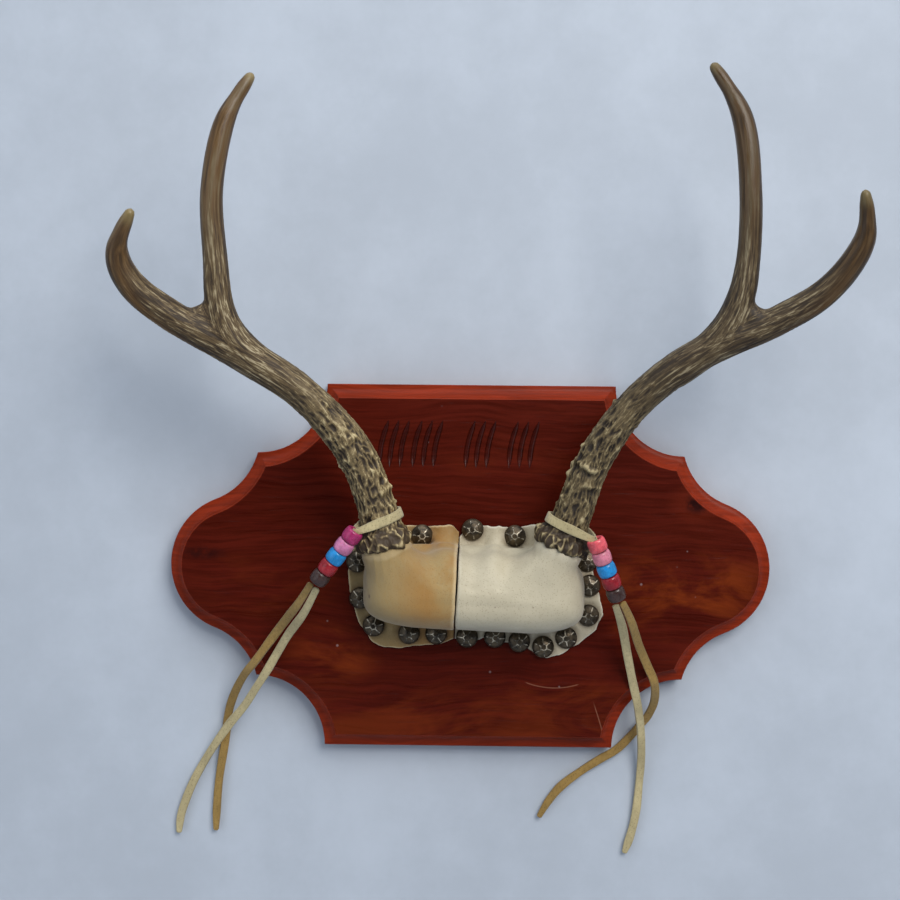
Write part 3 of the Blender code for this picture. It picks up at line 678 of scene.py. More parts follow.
def wood_material(name, stain, amber, amber_low=None, darker=1.0, coat=0.04, roughness=0.0, shine=0.07,
                  marks=False):
    """A stained wood finish; the amber figure fades in below a height."""
    material, g, shader = new_material(name, Coat_Roughness=0.20, Coat_Weight=coat, Specular_IOR_Level=shine)
    place = g.places()
    split = g.add("ShaderNodeSeparateXYZ", {0: place})
    share = 0.0
    if amber_low is not None:
        share = g.remap(split.outputs["Z"], amber_low + 0.024, amber_low, 0.04, 0.42)
        for zone_x, zone_z, reach_x, reach_z, strength in AMBER_ZONES:
            zone = g.math("MULTIPLY", blot(g, place, zone_x, zone_z, reach_x, reach_z), strength)
            share = g.math("MAXIMUM", share, zone)
    colour = [c * darker for c in stain] + [1.0]
    grain = g.add("ShaderNodeGroup", node_tree=wood_group())
    for key, value in (("Vector", place), ("Stain", colour), ("Amber", list(amber) + [1.0]),
                       ("Amber Share", share), ("Contrast", 1.0)):
        g.join(value, grain.inputs[key])
    shown = grain.outputs["Color"]
    if marks:
        halo = blot(g, place, 0.1136, 0.0335, 0.0190, 0.0130)
        shown = g.mix(g.math("MULTIPLY", halo, 0.35), shown, (0.150, 0.018, 0.006, 1))
        knots = g.math("MAXIMUM", blot(g, place, 0.1136, 0.0335, 0.0090, 0.0070),
                       g.math("MULTIPLY", blot(g, place, -0.1344, 0.0061, 0.0150, 0.0045), 0.7))
        knots = g.math("MULTIPLY", knots, g.remap(g.noise(place, 240.0), 0.25, 0.55))
        shown = g.mix(g.math("MULTIPLY", knots, 0.9), shown, (0.010, 0.002, 0.002, 1))
        lines = g.math("MAXIMUM", arc_scratch(g, place, 0.0430, -0.0200, 0.0400, 0.0004, 0.028, 0.056, False),
                       arc_scratch(g, place, -0.1249, -0.1360, 0.2000, 0.0004, 0.0625, 0.0690))
        shown = g.mix(g.math("MULTIPLY", lines, 0.40), shown, (0.300, 0.130, 0.080, 1))
        dust = g.math("MULTIPLY", g.spots(place, 110.0, 0.09), g.remap(g.noise(place, 30.0), 0.52, 0.62))
        shown = g.mix(g.math("MULTIPLY", dust, 0.30), shown, (0.45, 0.36, 0.36, 1))
    g.join(shown, shader.inputs["Base Color"])
    g.join(g.math("ADD", grain.outputs["Roughness"], roughness), shader.inputs["Roughness"])
    raise_surface(g, shader, grain.outputs["Height"], 0.35, 0.0003)
    return material


# The board


def board_outline(board, inset, fineness):
    """The outline in x and z, set in from the edge: a lobe, a neck and a cove in each quarter."""

    def arc(centre, radius, first, last, steps):
        turns = [first + (last - first) * k / steps for k in range(steps + 1)]
        return [Vector((centre.x + radius * math.cos(a), centre.y + radius * math.sin(a))) for a in turns]

    def crossing(one, one_radius, two, two_radius, side):
        line = two - one
        along = (line.length_squared + one_radius ** 2 - two_radius ** 2) / (2 * line.length)
        off = math.sqrt(one_radius ** 2 - along ** 2)
        unit = line.normalized()
        return one + unit * along + Vector((-unit.y, unit.x)) * off * side

    def angle(centre, point):
        return math.atan2(point.y - centre.y, point.x - centre.x)

    half_height = BOARD_HIGH[2]
    lobe = Vector((BOARD_HIGH[0] - board.lobe, 0))
    cove = Vector((board.top_edge / 2 + board.cove, half_height))
    ear = Vector((cove.x, half_height - board.cove))
    neck = crossing(lobe, board.lobe + board.neck, ear, board.neck, -1)
    lean = angle(lobe, neck)
    tip = crossing(neck, board.neck + inset, cove, board.cove + inset, 1)
    drop = math.asin(inset / (board.cove + inset))
    quarter = arc(lobe, board.lobe - inset, 0, lean, 4 * fineness)
    quarter += arc(neck, board.neck + inset, lean - math.pi, angle(neck, tip), 3 * fineness)[1:]
    quarter += arc(cove, board.cove + inset, angle(cove, tip), drop - math.pi, 5 * fineness)[1:]
    right = [Vector((p.x, -p.y)) for p in quarter[:0:-1]] + quarter
    return right + [Vector((-p.x, p.y)) for p in reversed(right)]


def edge_profile(board, steps):
    """Inset and height of each line of the routed edge, from the back to the face."""
    side, ease_back, lip = 0.0095, 0.0004, 0.00035
    rise = -FACE_Y - lip - side
    turns = [math.pi / 2 * k / steps for k in range(steps + 1)]
    lines = [(ease_back, 0.0), (0.0, ease_back), (0.0, side - ease_back)]
    lines += [(ease_back + (board.edge - ease_back) * math.sin(a), side + rise * (1 - math.cos(a)))
              for a in turns]
    lines.append((board.edge + lip, -FACE_Y))
    return lines


def raise_rings(piece, rings):
    """Extrudes a flat outline through further rings of the same length."""
    mesh = edit(piece)
    for face in mesh.faces:
        face.select_set(True)
    bmesh.update_edit_mesh(piece.data)
    for low, high in zip(rings, rings[1:]):
        bpy.ops.mesh.extrude_region_move()
        mesh = bmesh.from_edit_mesh(piece.data)
        goal = {tuple(round(c, 6) for c in a): b for a, b in zip(low, high)}
        for vert in mesh.verts:
            if vert.select:
                vert.co = goal[tuple(round(c, 6) for c in vert.co)]
        bmesh.update_edit_mesh(piece.data)
    leave_edit()


def stroke_cutter(group_x, settings_depth, reach, over):
    """A leaning, tapered gouge for one group of three carved strokes."""
    cutters = []
    for k in range(3):
        start()
        bpy.ops.mesh.primitive_cylinder_add(vertices=20, radius=1.0, depth=1.0)
        cutter = added("stroke_cutter")
        mesh = edit(cutter)
        for edge in mesh.edges:
            upright = abs(edge.verts[0].co.z - edge.verts[1].co.z) > 0.5
            edge.select_set(upright)
        bmesh.update_edit_mesh(cutter.data)
        bpy.ops.mesh.subdivide(number_cuts=13)
        leave_edit()
        points = points_of(cutter)
        t = points[:, 2] + 0.5
        bow = np.sin(math.pi * t)
        wide = reach * (0.30 + 0.70 * np.clip(bow * 1.8, 0, 1) ** 0.5)
        foot = group_x + (k - 1) * 0.0052
        shaped = np.empty_like(points)
        shaped[:, 0] = foot + 0.0045 * (t - 0.5) - 0.0045 * 0.25 * bow + points[:, 0] * wide
        shaped[:, 1] = FACE_Y - reach + settings_depth * (0.35 + 0.65 * np.clip(bow * 1.6, 0, 1)) \
            + points[:, 1] * reach
        shaped[:, 2] = BOARD_HIGH[2] - 0.0299 + 0.0226 * (t - 0.5) + over * (t - 0.5)
        put_points(cutter, shaped)
        cutters.append(cutter)
    return cutters


def carve_strokes(board_piece, depth):
    """Cuts the row of strokes, first a shallow wide pass that eases the rim and then the gouge."""
    for reach, deep, over in ((0.0023, 0.00032, 0.0008), (0.00150, depth, 0.0)):
        cutters = []
        for group_x in (-0.0386, -0.0218, 0.0048, 0.0265):
            cutters += stroke_cutter(group_x, deep, reach, over)
        take(cutters[0])
        for cutter in cutters:
            cutter.select_set(True)
        bpy.ops.object.join()
        tool = bpy.context.active_object
        face_outwards(tool)
        apply_modifier(board_piece, "BOOLEAN", object=tool, operation="DIFFERENCE", solver="EXACT")
        bpy.data.objects.remove(tool, do_unlink=True)


def cut_keyhole(board_piece):
    """Cuts the hanging slot in the back: a round mouth, a narrow neck and a wider chamber."""
    low, high = BOARD_HIGH[2] - 0.0440, BOARD_HIGH[2] - 0.0320
    for width, z_low, z_high, y_low, y_high in (
            (0.0100, low, low, -0.0095, 0.0010), (0.0052, low, high, -0.0095, 0.0010),
            (0.0100, low, high, -0.0105, -0.0040)):
        half = width / 2
        turns = [math.pi * k / 16 for k in range(17)]
        outline = [(half * math.cos(a), z_high + half * math.sin(a)) for a in turns]
        outline += [(-half * math.cos(a), z_low - half * math.sin(a)) for a in turns]
        tool = sheath("slot_cutter", [[Vector((x, y, z)) for x, z in outline] for y in (y_high, y_low)])
        apply_modifier(board_piece, "BOOLEAN", object=tool, operation="DIFFERENCE", solver="EXACT")
        bpy.data.objects.remove(tool, do_unlink=True)


class PLAQUE_OT_board(bpy.types.Operator):
    """Models the routed board with its carved row of strokes and its hanging slot"""

    bl_idname = "plaque.board"
    bl_label = "Board"

    def execute(self, context):
        board = context.scene.plaque_board
        lines = edge_profile(board, 12)
        rings = [[Vector((p.x, -height, p.y)) for p in board_outline(board, inset, 4)]
                 for inset, height in lines]
        start()
        bpy.ops.mesh.primitive_circle_add(vertices=len(rings[0]), radius=0.1, fill_type="NGON")
        piece = added("plaque_board")
        put_points(piece, np.array([tuple(p) for p in rings[0]]))
        raise_rings(piece, rings)
        face_outwards(piece)
        cut_keyhole(piece)
        carve_strokes(piece, board.stroke_depth)
        mesh = piece.data
        mesh.materials.clear()
        mesh.materials.append(wood_material(
            "stained_face", board.face_stain, board.amber, amber_low=-0.076, marks=True))
        mesh.materials.append(wood_material(
            "stained_edge", board.edge_stain, board.amber, coat=0.03, roughness=0.06, shine=0.07))
        mesh.materials.append(wood_material("stained_stroke", board.face_stain, board.amber, darker=0.62,
                                            coat=0.20, roughness=0.02))
        low_z, high_z = BOARD_HIGH[2] - 0.0435, BOARD_HIGH[2] - 0.0165
        for polygon in mesh.polygons:
            centre = polygon.center
            if centre.y < FACE_Y + 0.00002 or centre.y > -0.00002:
                polygon.material_index = 0
            elif centre.y < FACE_Y + 0.0016 and low_z < centre.z < high_z and abs(centre.x) < 0.05:
                polygon.material_index = 2
            else:
                polygon.material_index = 1
        shade_by_angle(piece, 32)
        for polygon in mesh.polygons:
            if abs(polygon.normal.y) > 0.9999 and polygon.area > 0.0004:
                polygon.use_smooth = False
        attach(piece, "root")
        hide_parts("board")
        return {"FINISHED"}


# The antlers


def line_frames(points):
    """Direction and two steady side vectors at each point of a line."""
    forward = np.gradient(points, axis=0)
    forward /= np.linalg.norm(forward, axis=1)[:, None]
    side = np.cross(forward[0], (0, 1, 0))
    sides = []
    for direction in forward:
        side = side - direction * side.dot(direction)
        side /= np.linalg.norm(side)
        sides.append(side)
    sides = np.array(sides)
    return forward, sides, np.cross(forward, sides)


class Shaft:
    """An antler's line, which can be asked for the place of any point along and round it."""

    def __init__(self, points):
        line = smooth_line(points, 26)
        self.points = np.stack([line[:, 0] * MM, FACE_Y - line[:, 1] * MM, line[:, 2] * MM], axis=1)
        self.forward, self.side, self.across = line_frames(self.points)
        steps = np.linalg.norm(np.diff(self.points, axis=0), axis=1)
        self.lengths = np.concatenate([[0], np.cumsum(steps)])
        self.total = self.lengths[-1]
        left = np.maximum(self.total - self.lengths, 0.00005)
        blunt = 0.0009 * ease(left, 0.0160, 0.0050)
        round_end = np.sqrt(np.clip(1 - (1 - np.minimum(left, 0.0022) / 0.0022) ** 2, 0, 1))
        self.radii = (line[:, 3] * MM + blunt) * round_end

    def read(self, places):
        """For each place: side offsets, length along the line, distance in radii and turn in degrees."""
        near = np.empty(len(places), np.int64)
        for low in range(0, len(places), 4000):
            part = places[low:low + 4000]
            near[low:low + 4000] = ((part[:, None] - self.points[None]) ** 2).sum(2).argmin(1)
        away = places - self.points[near]
        along = (away * self.forward[near]).sum(1)
        a = (away * self.side[near]).sum(1)
        b = (away * self.across[near]).sum(1)
        radius = np.maximum(self.radii[near], 0.0015)
        out = away - along[:, None] * self.forward[near]
        turn = np.degrees(np.arctan2(-out[:, 1], out[:, 0]))
        return a, b, self.lengths[near] + along, np.hypot(a, b) / radius, turn

    def at(self, length):
        """Place, radius and direction at one length, carried on straight before the start."""
        i = int(np.clip(np.searchsorted(self.lengths, length) - 1, 0, len(self.lengths) - 2))
        place = self.points[i] + self.forward[i] * (length - self.lengths[i])
        return Vector(place), float(np.interp(length, self.lengths, self.radii)), Vector(self.forward[i])


def tube(name, points, radii):
    """A round tube along a line, made as a curve and turned into a mesh."""
    curve = bpy.data.curves.new(name, "CURVE")
    curve.dimensions = "3D"
    curve.bevel_depth = 1.0
    curve.bevel_resolution = 10
    curve.use_fill_caps = True
    spline = curve.splines.new("POLY")
    spline.points.add(len(points) - 1)
    for knot, place, radius in zip(spline.points, points, radii):
        knot.co = (*place, 1.0)
        knot.radius = radius
    piece = bpy.data.objects.new(name, curve)
    bpy.context.scene.collection.objects.link(piece)
    take(piece)
    bpy.ops.object.convert(target="MESH")
    return bpy.context.active_object


def beam_body(shaft):
    """Places and radii of the beam with its pedicle and burr."""
    stub = [(-0.0120, 0.0095), (-0.0060, 0.0096), (-0.0046, 0.0104), (-0.0041, 0.0122), (-0.0030, 0.0130),
            (-0.0014, 0.0132), (0.0004, 0.0129), (0.0020, 0.0123), (0.0036, 0.0112), (0.0052, 0.0103),
            (0.0066, 0.0099)]
    places = [shaft.points[0] + shaft.forward[0] * length for length, _ in stub]
    radii = [radius for _, radius in stub]
    keep = shaft.lengths > 0.0080
    places += list(shaft.points[keep])
    radii += list(shaft.radii[keep])
    return places, radii


def crests(flow, reach, seed, sharpness=2.3):
    """1 along wandering crest lines and less between them, for lumps of a reach in each direction."""
    return 1 - np.abs(ripple(flow / reach, seed)) * sharpness


def net_relief(flow, seed):
    """Ridges that wander, meet and part over deep pits, as just over the burr."""
    bend = ripple(flow / (0.005, 0.005, 0.010), seed) * 0.0007
    bent = flow + np.stack([bend, -bend, bend * 0], axis=1)
    long_way = crests(bent, (0.0019, 0.0019, 0.0085), seed + 1)
    short_way = crests(bent, (0.0024, 0.0024, 0.0044), seed + 2) - 0.12
    fine = crests(bent, (0.0010, 0.0010, 0.0042), seed + 3)
    return np.maximum(long_way, short_way) * 1.1 - 0.58 + fine * 0.24


def streak_relief(flow, seed):
    """Fine ridges along the shaft."""
    return crests(flow, (0.0019, 0.0019, 0.026), seed) * 0.6 + crests(flow, (0.0010, 0.0010, 0.014),
                                                                      seed + 1) * 0.4


def pearl_places(shaft, count, seed):
    """Places, reaches and heights of the pearls on the lower beam and the knobs of the burr's rim."""
    chance = np.random.default_rng(seed)
    pearls = []
    for _ in range(count):
        s = 0.012 + 0.060 * chance.random() ** 1.5
        turn = chance.random() * math.tau
        i = int(np.searchsorted(shaft.lengths, s))
        out = shaft.side[i] * math.cos(turn) + shaft.across[i] * math.sin(turn)
        size = chance.uniform(0.0007, 0.0012)
        pearls.append((shaft.points[i] + out * shaft.radii[i], shaft.forward[i], size,
                       chance.uniform(0.5, 1.0) * size))
    for k in range(30):
        turn = math.tau * (k + chance.uniform(-0.35, 0.35)) / 30
        out = shaft.side[0] * math.cos(turn) + shaft.across[0] * math.sin(turn)
        s = chance.uniform(-0.0040, -0.0018) if k % 3 else chance.uniform(-0.0010, 0.0030)
        size = chance.uniform(0.0006, 0.0012)
        pearls.append((shaft.points[0] + shaft.forward[0] * s + out * 0.0128, shaft.forward[0], size,
                       chance.uniform(0.5, 1.1) * size))
    return pearls


def raise_bumps(points, spots):
    """Height of the highest rounded bump at each point."""
    bumps = np.zeros(len(points))
    for place, forward, size, rise in spots:
        away = points - place
        along = away @ forward
        far = np.sqrt(np.maximum((away ** 2).sum(1) - along ** 2, 0) + (along / 1.35) ** 2)
        bumps = np.maximum(bumps, rise * np.exp(-(far / size) ** 2 * 1.3))
    return bumps


def dress_antler(piece, side, shaft, tine, settings, seed):
    """Raises the ridges, pearls and burr of a plain antler and stores what its material reads."""
    points = points_of(piece)
    normals = normals_of(piece)
    a, b, s, near, turn = shaft.read(points)
    ta, tb, ts, tine_near, _ = tine.read(points)
    beam_flow = np.stack([a, b, s], axis=1)
    tine_flow = np.stack([ta, tb, ts + 0.3], axis=1)
    on_tine = ease(near - tine_near, -0.35, 0.45) * ease(ts, 0.004, 0.016)
    burr = ease(s, -0.0085, -0.0050) * ease(s, 0.0070, 0.0030)
    upper = np.maximum(1 - ease(s, 0.110, 0.050), on_tine)
    smooth = np.where(on_tine > 0.5, ts / tine.total * 1.02, (s - 0.150) / (shaft.total - 0.150))
    smooth = ease(smooth, 0.10, 0.80)
    streak = streak_relief(beam_flow, seed + 20) * (1 - on_tine) + streak_relief(tine_flow, seed + 40) * on_tine
    x, height, z, _ = (value * MM for value in WEBS[side])
    streak *= 1 - 0.9 * np.exp(-(np.linalg.norm(points - (x, FACE_Y - height, z), axis=1) / 0.0100) ** 2)
    relief = net_relief(beam_flow, seed) * (1 - upper) + streak * upper * (0.46 - 0.38 * smooth)
    flute = crests(beam_flow, (0.0021, 0.0021, 0.0130), seed + 60)
    nearest, next_nearest = cells(beam_flow / (0.0034, 0.0034, 0.0050), seed + 70)
    rim = ease(next_nearest - nearest, 0.42, 0.05) * np.clip(0.75 + ripple(beam_flow / 0.0028, seed + 72), 0, 1)
    knurl = rim * 1.30 - 0.60 + flute * 0.55
    relief = relief * (1 - burr) + knurl * burr
    spots = pearl_places(shaft, settings.pearl_count, seed + 5)
    for length, round_it, size in LONE_KNOBS[side]:
        i = int(np.searchsorted(shaft.lengths, length * MM))
        out = np.array((math.cos(math.radians(round_it)), -math.sin(math.radians(round_it)), 0))
        out -= shaft.forward[i] * out.dot(shaft.forward[i])
        out /= np.linalg.norm(out)
        spots.append((shaft.points[i] + out * shaft.radii[i], shaft.forward[i], size * MM * 0.8, size * MM))
    bumps = raise_bumps(points, spots)
    rings = np.zeros(len(points))
    for length, low, high, rise in CROSS_RIDGES[side]:
        sway = ripple(beam_flow / 0.004, seed + 90) * 0.0009
        band = np.exp(-((s + sway - length * MM) / 0.0010) ** 2)
        under = np.exp(-((s + sway - length * MM + 0.0028) / 0.0016) ** 2)
        window = ease(turn, low - 12, low + 6) * ease(turn, high + 12, high - 6)
        rings += (band * rise - under * rise * 0.9) * window
    lift = relief * settings.ridge_height * (1 - 0.35 * on_tine) + bumps + rings * MM
    lift += ripple(beam_flow / 0.0052, seed + 75) * burr * 0.0015
    put_points(piece, points + normals * lift[:, None])
    shown = relief - 0.42 * burr + bumps / 0.0008 * (0.42 - 0.2 * burr) + rings * 0.55
    put_values(piece, "relief", np.clip(shown, -1, 1))
    put_values(piece, "smoothness", smooth)
    put_values(piece, "upper", upper)
    put_values(piece, "burr", burr)
    aim = 90 + (-1 if side == "right" else 1) * 62 * ease(s, 0.200, 0.130)
    stain = np.exp(-((turn - aim) / 26) ** 2) * ease(s, 0.112, 0.150) * (1 - on_tine)
    put_values(piece, "stain", stain * np.clip(0.8 + 0.5 * ripple(beam_flow / (0.003, 0.003, 0.03), seed + 95), 0, 1))
    put_values(piece, "fork", on_tine)
    put_values(piece, "reach", np.where(on_tine > 0.5, ts / tine.total, s / shaft.total))
    put_vectors(piece, "beam_flow", beam_flow)
    put_vectors(piece, "tine_flow", tine_flow)


def ramp(g, value, stops):
    """A colour ramp over stops of position and colour."""
    node = g.add("ShaderNodeValToRGB", {"Fac": value})
    elements = node.color_ramp.elements
    elements[0].position, elements[0].color = stops[0][0], (*stops[0][1], 1)
    elements[1].position, elements[1].color = stops[-1][0], (*stops[-1][1], 1)
    for position, colour in stops[1:-1]:
        elements.new(position).color = (*colour, 1)
    return node.outputs["Color"]


def antler_material(settings):
    """Antler: dark grooves, pale worn ridges, streaks along the shafts and smooth amber tips; painted light on the
    left antler and painted shade on the right.
    """
    name = "antler_bone"
    if name in bpy.data.materials:
        return bpy.data.materials[name]
    material, g, shader = new_material(name, Coat_Weight=0.03, Coat_Roughness=0.30, Specular_IOR_Level=0.28)
    place = g.places()
    relief, smooth, fork = g.attribute("relief"), g.attribute("smoothness"), g.attribute("fork")
    upper, burr, reach = g.attribute("upper"), g.attribute("burr"), g.attribute("reach")
    beam, tine = g.vectors("beam_flow"), g.vectors("tine_flow")

    def streaks(scale, detail):
        return g.blend(fork, g.noise(g.stretch(beam, scale), 1.0, detail, 0.6),
                       g.noise(g.stretch(tine, scale), 1.0, detail, 0.6))

    broad = streaks((260.0, 260.0, 13.0), 3.0)
    middle = streaks((700.0, 700.0, 48.0), 4.0)
    fine = streaks((1500.0, 1500.0, 130.0), 3.0)
    lines = g.remap(g.math("ABSOLUTE", g.math("SUBTRACT", streaks((480.0, 480.0, 62.0), 3.0), 0.5)), 0.075, 0.0)
    grain = g.noise(place, 900.0, 4.0, 0.65)
    low = g.math("ADD", g.remap(relief, -0.75, 0.95), g.math("MULTIPLY", g.math("SUBTRACT", grain, 0.5), 0.40))
    low = g.math("ADD", low, g.math("MULTIPLY", g.math("SUBTRACT", broad, 0.5), 0.45))
    low = g.math("ADD", low, g.math("MULTIPLY", g.math("SUBTRACT", lines, 0.4), 0.14))
    lower_colour = ramp(g, low, (
        (0.22, settings.groove), (0.52, [c * 0.60 for c in settings.bone]), (0.76, settings.bone),
        (1.0, settings.ridge)))
    high = g.math("ADD", g.math("MULTIPLY", middle, 0.50), g.math("MULTIPLY", fine, 0.50))
    high = g.math("ADD", high, g.math("MULTIPLY", g.math("SUBTRACT", broad, 0.5), 0.38))
    high = g.math("ADD", high, g.math("MULTIPLY", relief, 0.11))
    high = g.math("ADD", high, g.math("MULTIPLY", g.math("SUBTRACT", lines, 0.35), g.remap(smooth, 0.0, 0.6, 0.12, 0.01)))
    upper_colour = ramp(g, g.remap(high, 0.34, 0.72), (
        (0.12, (0.026, 0.016, 0.008)), (0.44, (0.072, 0.046, 0.020)), (0.74, (0.124, 0.088, 0.043)),
        (1.0, (0.315, 0.260, 0.160))))
    colour = g.mix(upper, lower_colour, upper_colour)
    colour = g.mix(g.math("MULTIPLY", g.attribute("stain"), 0.75), colour, (0.110, 0.050, 0.010, 1))
    amber = ramp(g, g.remap(g.math("ADD", g.math("MULTIPLY", broad, 0.7), g.math("MULTIPLY", middle, 0.3)),
                            0.38, 0.66), (
        (0.05, [c * 0.40 for c in settings.tip]), (0.50, settings.tip), (0.95, (0.108, 0.078, 0.042))))
    colour = g.mix(g.remap(smooth, 0.25, 0.95, 0.0, 0.92), colour, amber)
    colour = g.mix(g.remap(reach, 0.955, 1.0, 0.0, 0.7), colour, (0.215, 0.165, 0.070, 1))
    grey = g.math("MULTIPLY", burr, g.remap(relief, 0.35, -0.15))
    colour = g.mix(g.math("MULTIPLY", grey, 0.80), colour, (0.046, 0.029, 0.015, 1))
    # Painted light and shade: the left antler is lightened and the right one darkened, as if lit from the left.
    painted_side_shade = g.remap(g.add("ShaderNodeSeparateXYZ", {0: place}).outputs["X"], -0.02, 0.05, 1.14, 0.76)
    colour = g.mix(1.0, colour, g.add("ShaderNodeCombineColor", {
        "Red": painted_side_shade, "Green": painted_side_shade, "Blue": painted_side_shade}).outputs[0], "MULTIPLY")
    g.join(colour, shader.inputs["Base Color"])
    g.join(g.remap(smooth, 0.0, 1.0, 0.60, 0.34), shader.inputs["Roughness"])
    texture = g.math("ADD", g.math("MULTIPLY", grain, 0.5), g.math("MULTIPLY", g.math("ADD", fine, middle), 0.7))
    raise_surface(g, shader, texture, 0.45, 0.0004)
    return material


def make_antler(side, settings):
    """One antler: beam, burr and tine are fused, eased at the fork and dressed."""
    shaft = Shaft(ANTLER_LINES[side]["beam"])
    tine = Shaft(ANTLER_LINES[side]["tine"])
    body = tube(f"antler_{side}_visual", *beam_body(shaft))
    branch = tube("branch", list(tine.points), list(tine.radii))
    x, height, z, radius = (value * MM for value in WEBS[side])
    start()
    bpy.ops.mesh.primitive_uv_sphere_add(segments=32, ring_count=16, radius=radius, location=(x, FACE_Y - height, z))
    web = added("web")
    take(body)
    branch.select_set(True)
    web.select_set(True)
    bpy.ops.object.join()
    body = bpy.context.active_object
    apply_modifier(body, "REMESH", mode="VOXEL", voxel_size=settings.voxel, use_smooth_shade=True)
    points = points_of(body)
    fork = Vector(ANTLER_LINES[side]["tine"][1][:3])
    fork = np.array((fork.x * MM, FACE_Y - fork.y * MM, fork.z * MM))
    weight = np.clip(1.6 - np.linalg.norm(points - fork, axis=1) / 0.020, 0, 1)
    crotch = np.array((x, FACE_Y - height, z))
    weight = np.maximum(weight, np.clip(1.7 - np.linalg.norm(points - crotch, axis=1) / 0.0085, 0, 1))
    group = body.vertex_groups.new(name="fork")
    for index in np.nonzero(weight > 0.01)[0]:
        group.add([int(index)], float(weight[index]), "REPLACE")
    apply_modifier(body, "SMOOTH", factor=0.5, iterations=140, vertex_group="fork")
    apply_modifier(body, "SMOOTH", factor=0.5, iterations=3)
    body.vertex_groups.clear()
    dress_antler(body, side, shaft, tine, settings, 11 if side == "left" else 23)
    body.data.materials.clear()
    body.data.materials.append(antler_material(settings))
    body.name = f"antler_{side}_visual"
    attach(body, "root")
    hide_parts(f"antler_{side}")
    return body


class PLAQUE_OT_antlers(bpy.types.Operator):
    """Models both forked antlers with ridges, pearls and burr"""

    bl_idname = "plaque.antlers"
    bl_label = "Antlers"

    def execute(self, context):
        for side in ANTLER_LINES:
            make_antler(side, context.scene.plaque_antler)
        return {"FINISHED"}


# The leather covers


MOUND_X, MOUND_Z = 0.0018, -0.0086
SEAM_X, SEAM_LEAN = -0.0061, 0.040
BACK_Y = FACE_Y - 0.0003


def beside_mound(leather, share_x, share_z):
    """A place in x and z, given in half widths and half heights of the mound from its middle."""
    return Vector((MOUND_X + share_x * leather.width / 2, MOUND_Z + share_z * leather.height / 2))


def margin_reach(leather, margin):
    """How far the leather's outer edge lies from the mound's middle, for each of many directions."""
    outline = [beside_mound(leather, *share) for share in smooth_line(margin + margin[:1], 6)[:-1]]
    centre = beside_mound(leather, 0, 0)
    turns = np.linspace(-math.pi, math.pi, 721)
    reaches = []
    for turn in turns:
        far = centre + Vector((math.cos(turn), math.sin(turn))) * 0.2
        hits = [intersect_line_line_2d(centre, far, a, b) for a, b in zip(outline, outline[1:] + outline[:1])]
        reaches.append(max((hit - centre).length for hit in hits if hit is not None))
    return turns, np.array(reaches)


def tack_centres():
    """The middle of each tack's head in x and z."""
    places = []
    for number in range(1, 17):
        low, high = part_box(f"tack_{number:02d}")
        places.append(((low[0] + high[0]) / 2, (low[2] + high[2]) / 2))
    return np.array(places)


def ragged_reach(leather, margin, direction, seed):
    """How far the leather reaches in each direction, with its uneven cut."""
    turns, reaches = margin_reach(leather, margin)
    around = np.stack([np.cos(direction) * 14, np.sin(direction) * 14, np.zeros_like(direction)], axis=1)
    uneven = ripple(around, seed) * 0.0006 + np.abs(ripple(around * 2.6, seed + 1)) * 0.0005
    return np.interp(direction, turns, reaches) + uneven


def tack_distance(x, z):
    """Distance from the nearest tack, seen from the front."""
    places = np.stack([x, z], axis=1)
    return np.sqrt(((places[:, None] - tack_centres()[None]) ** 2).sum(2)).min(1)


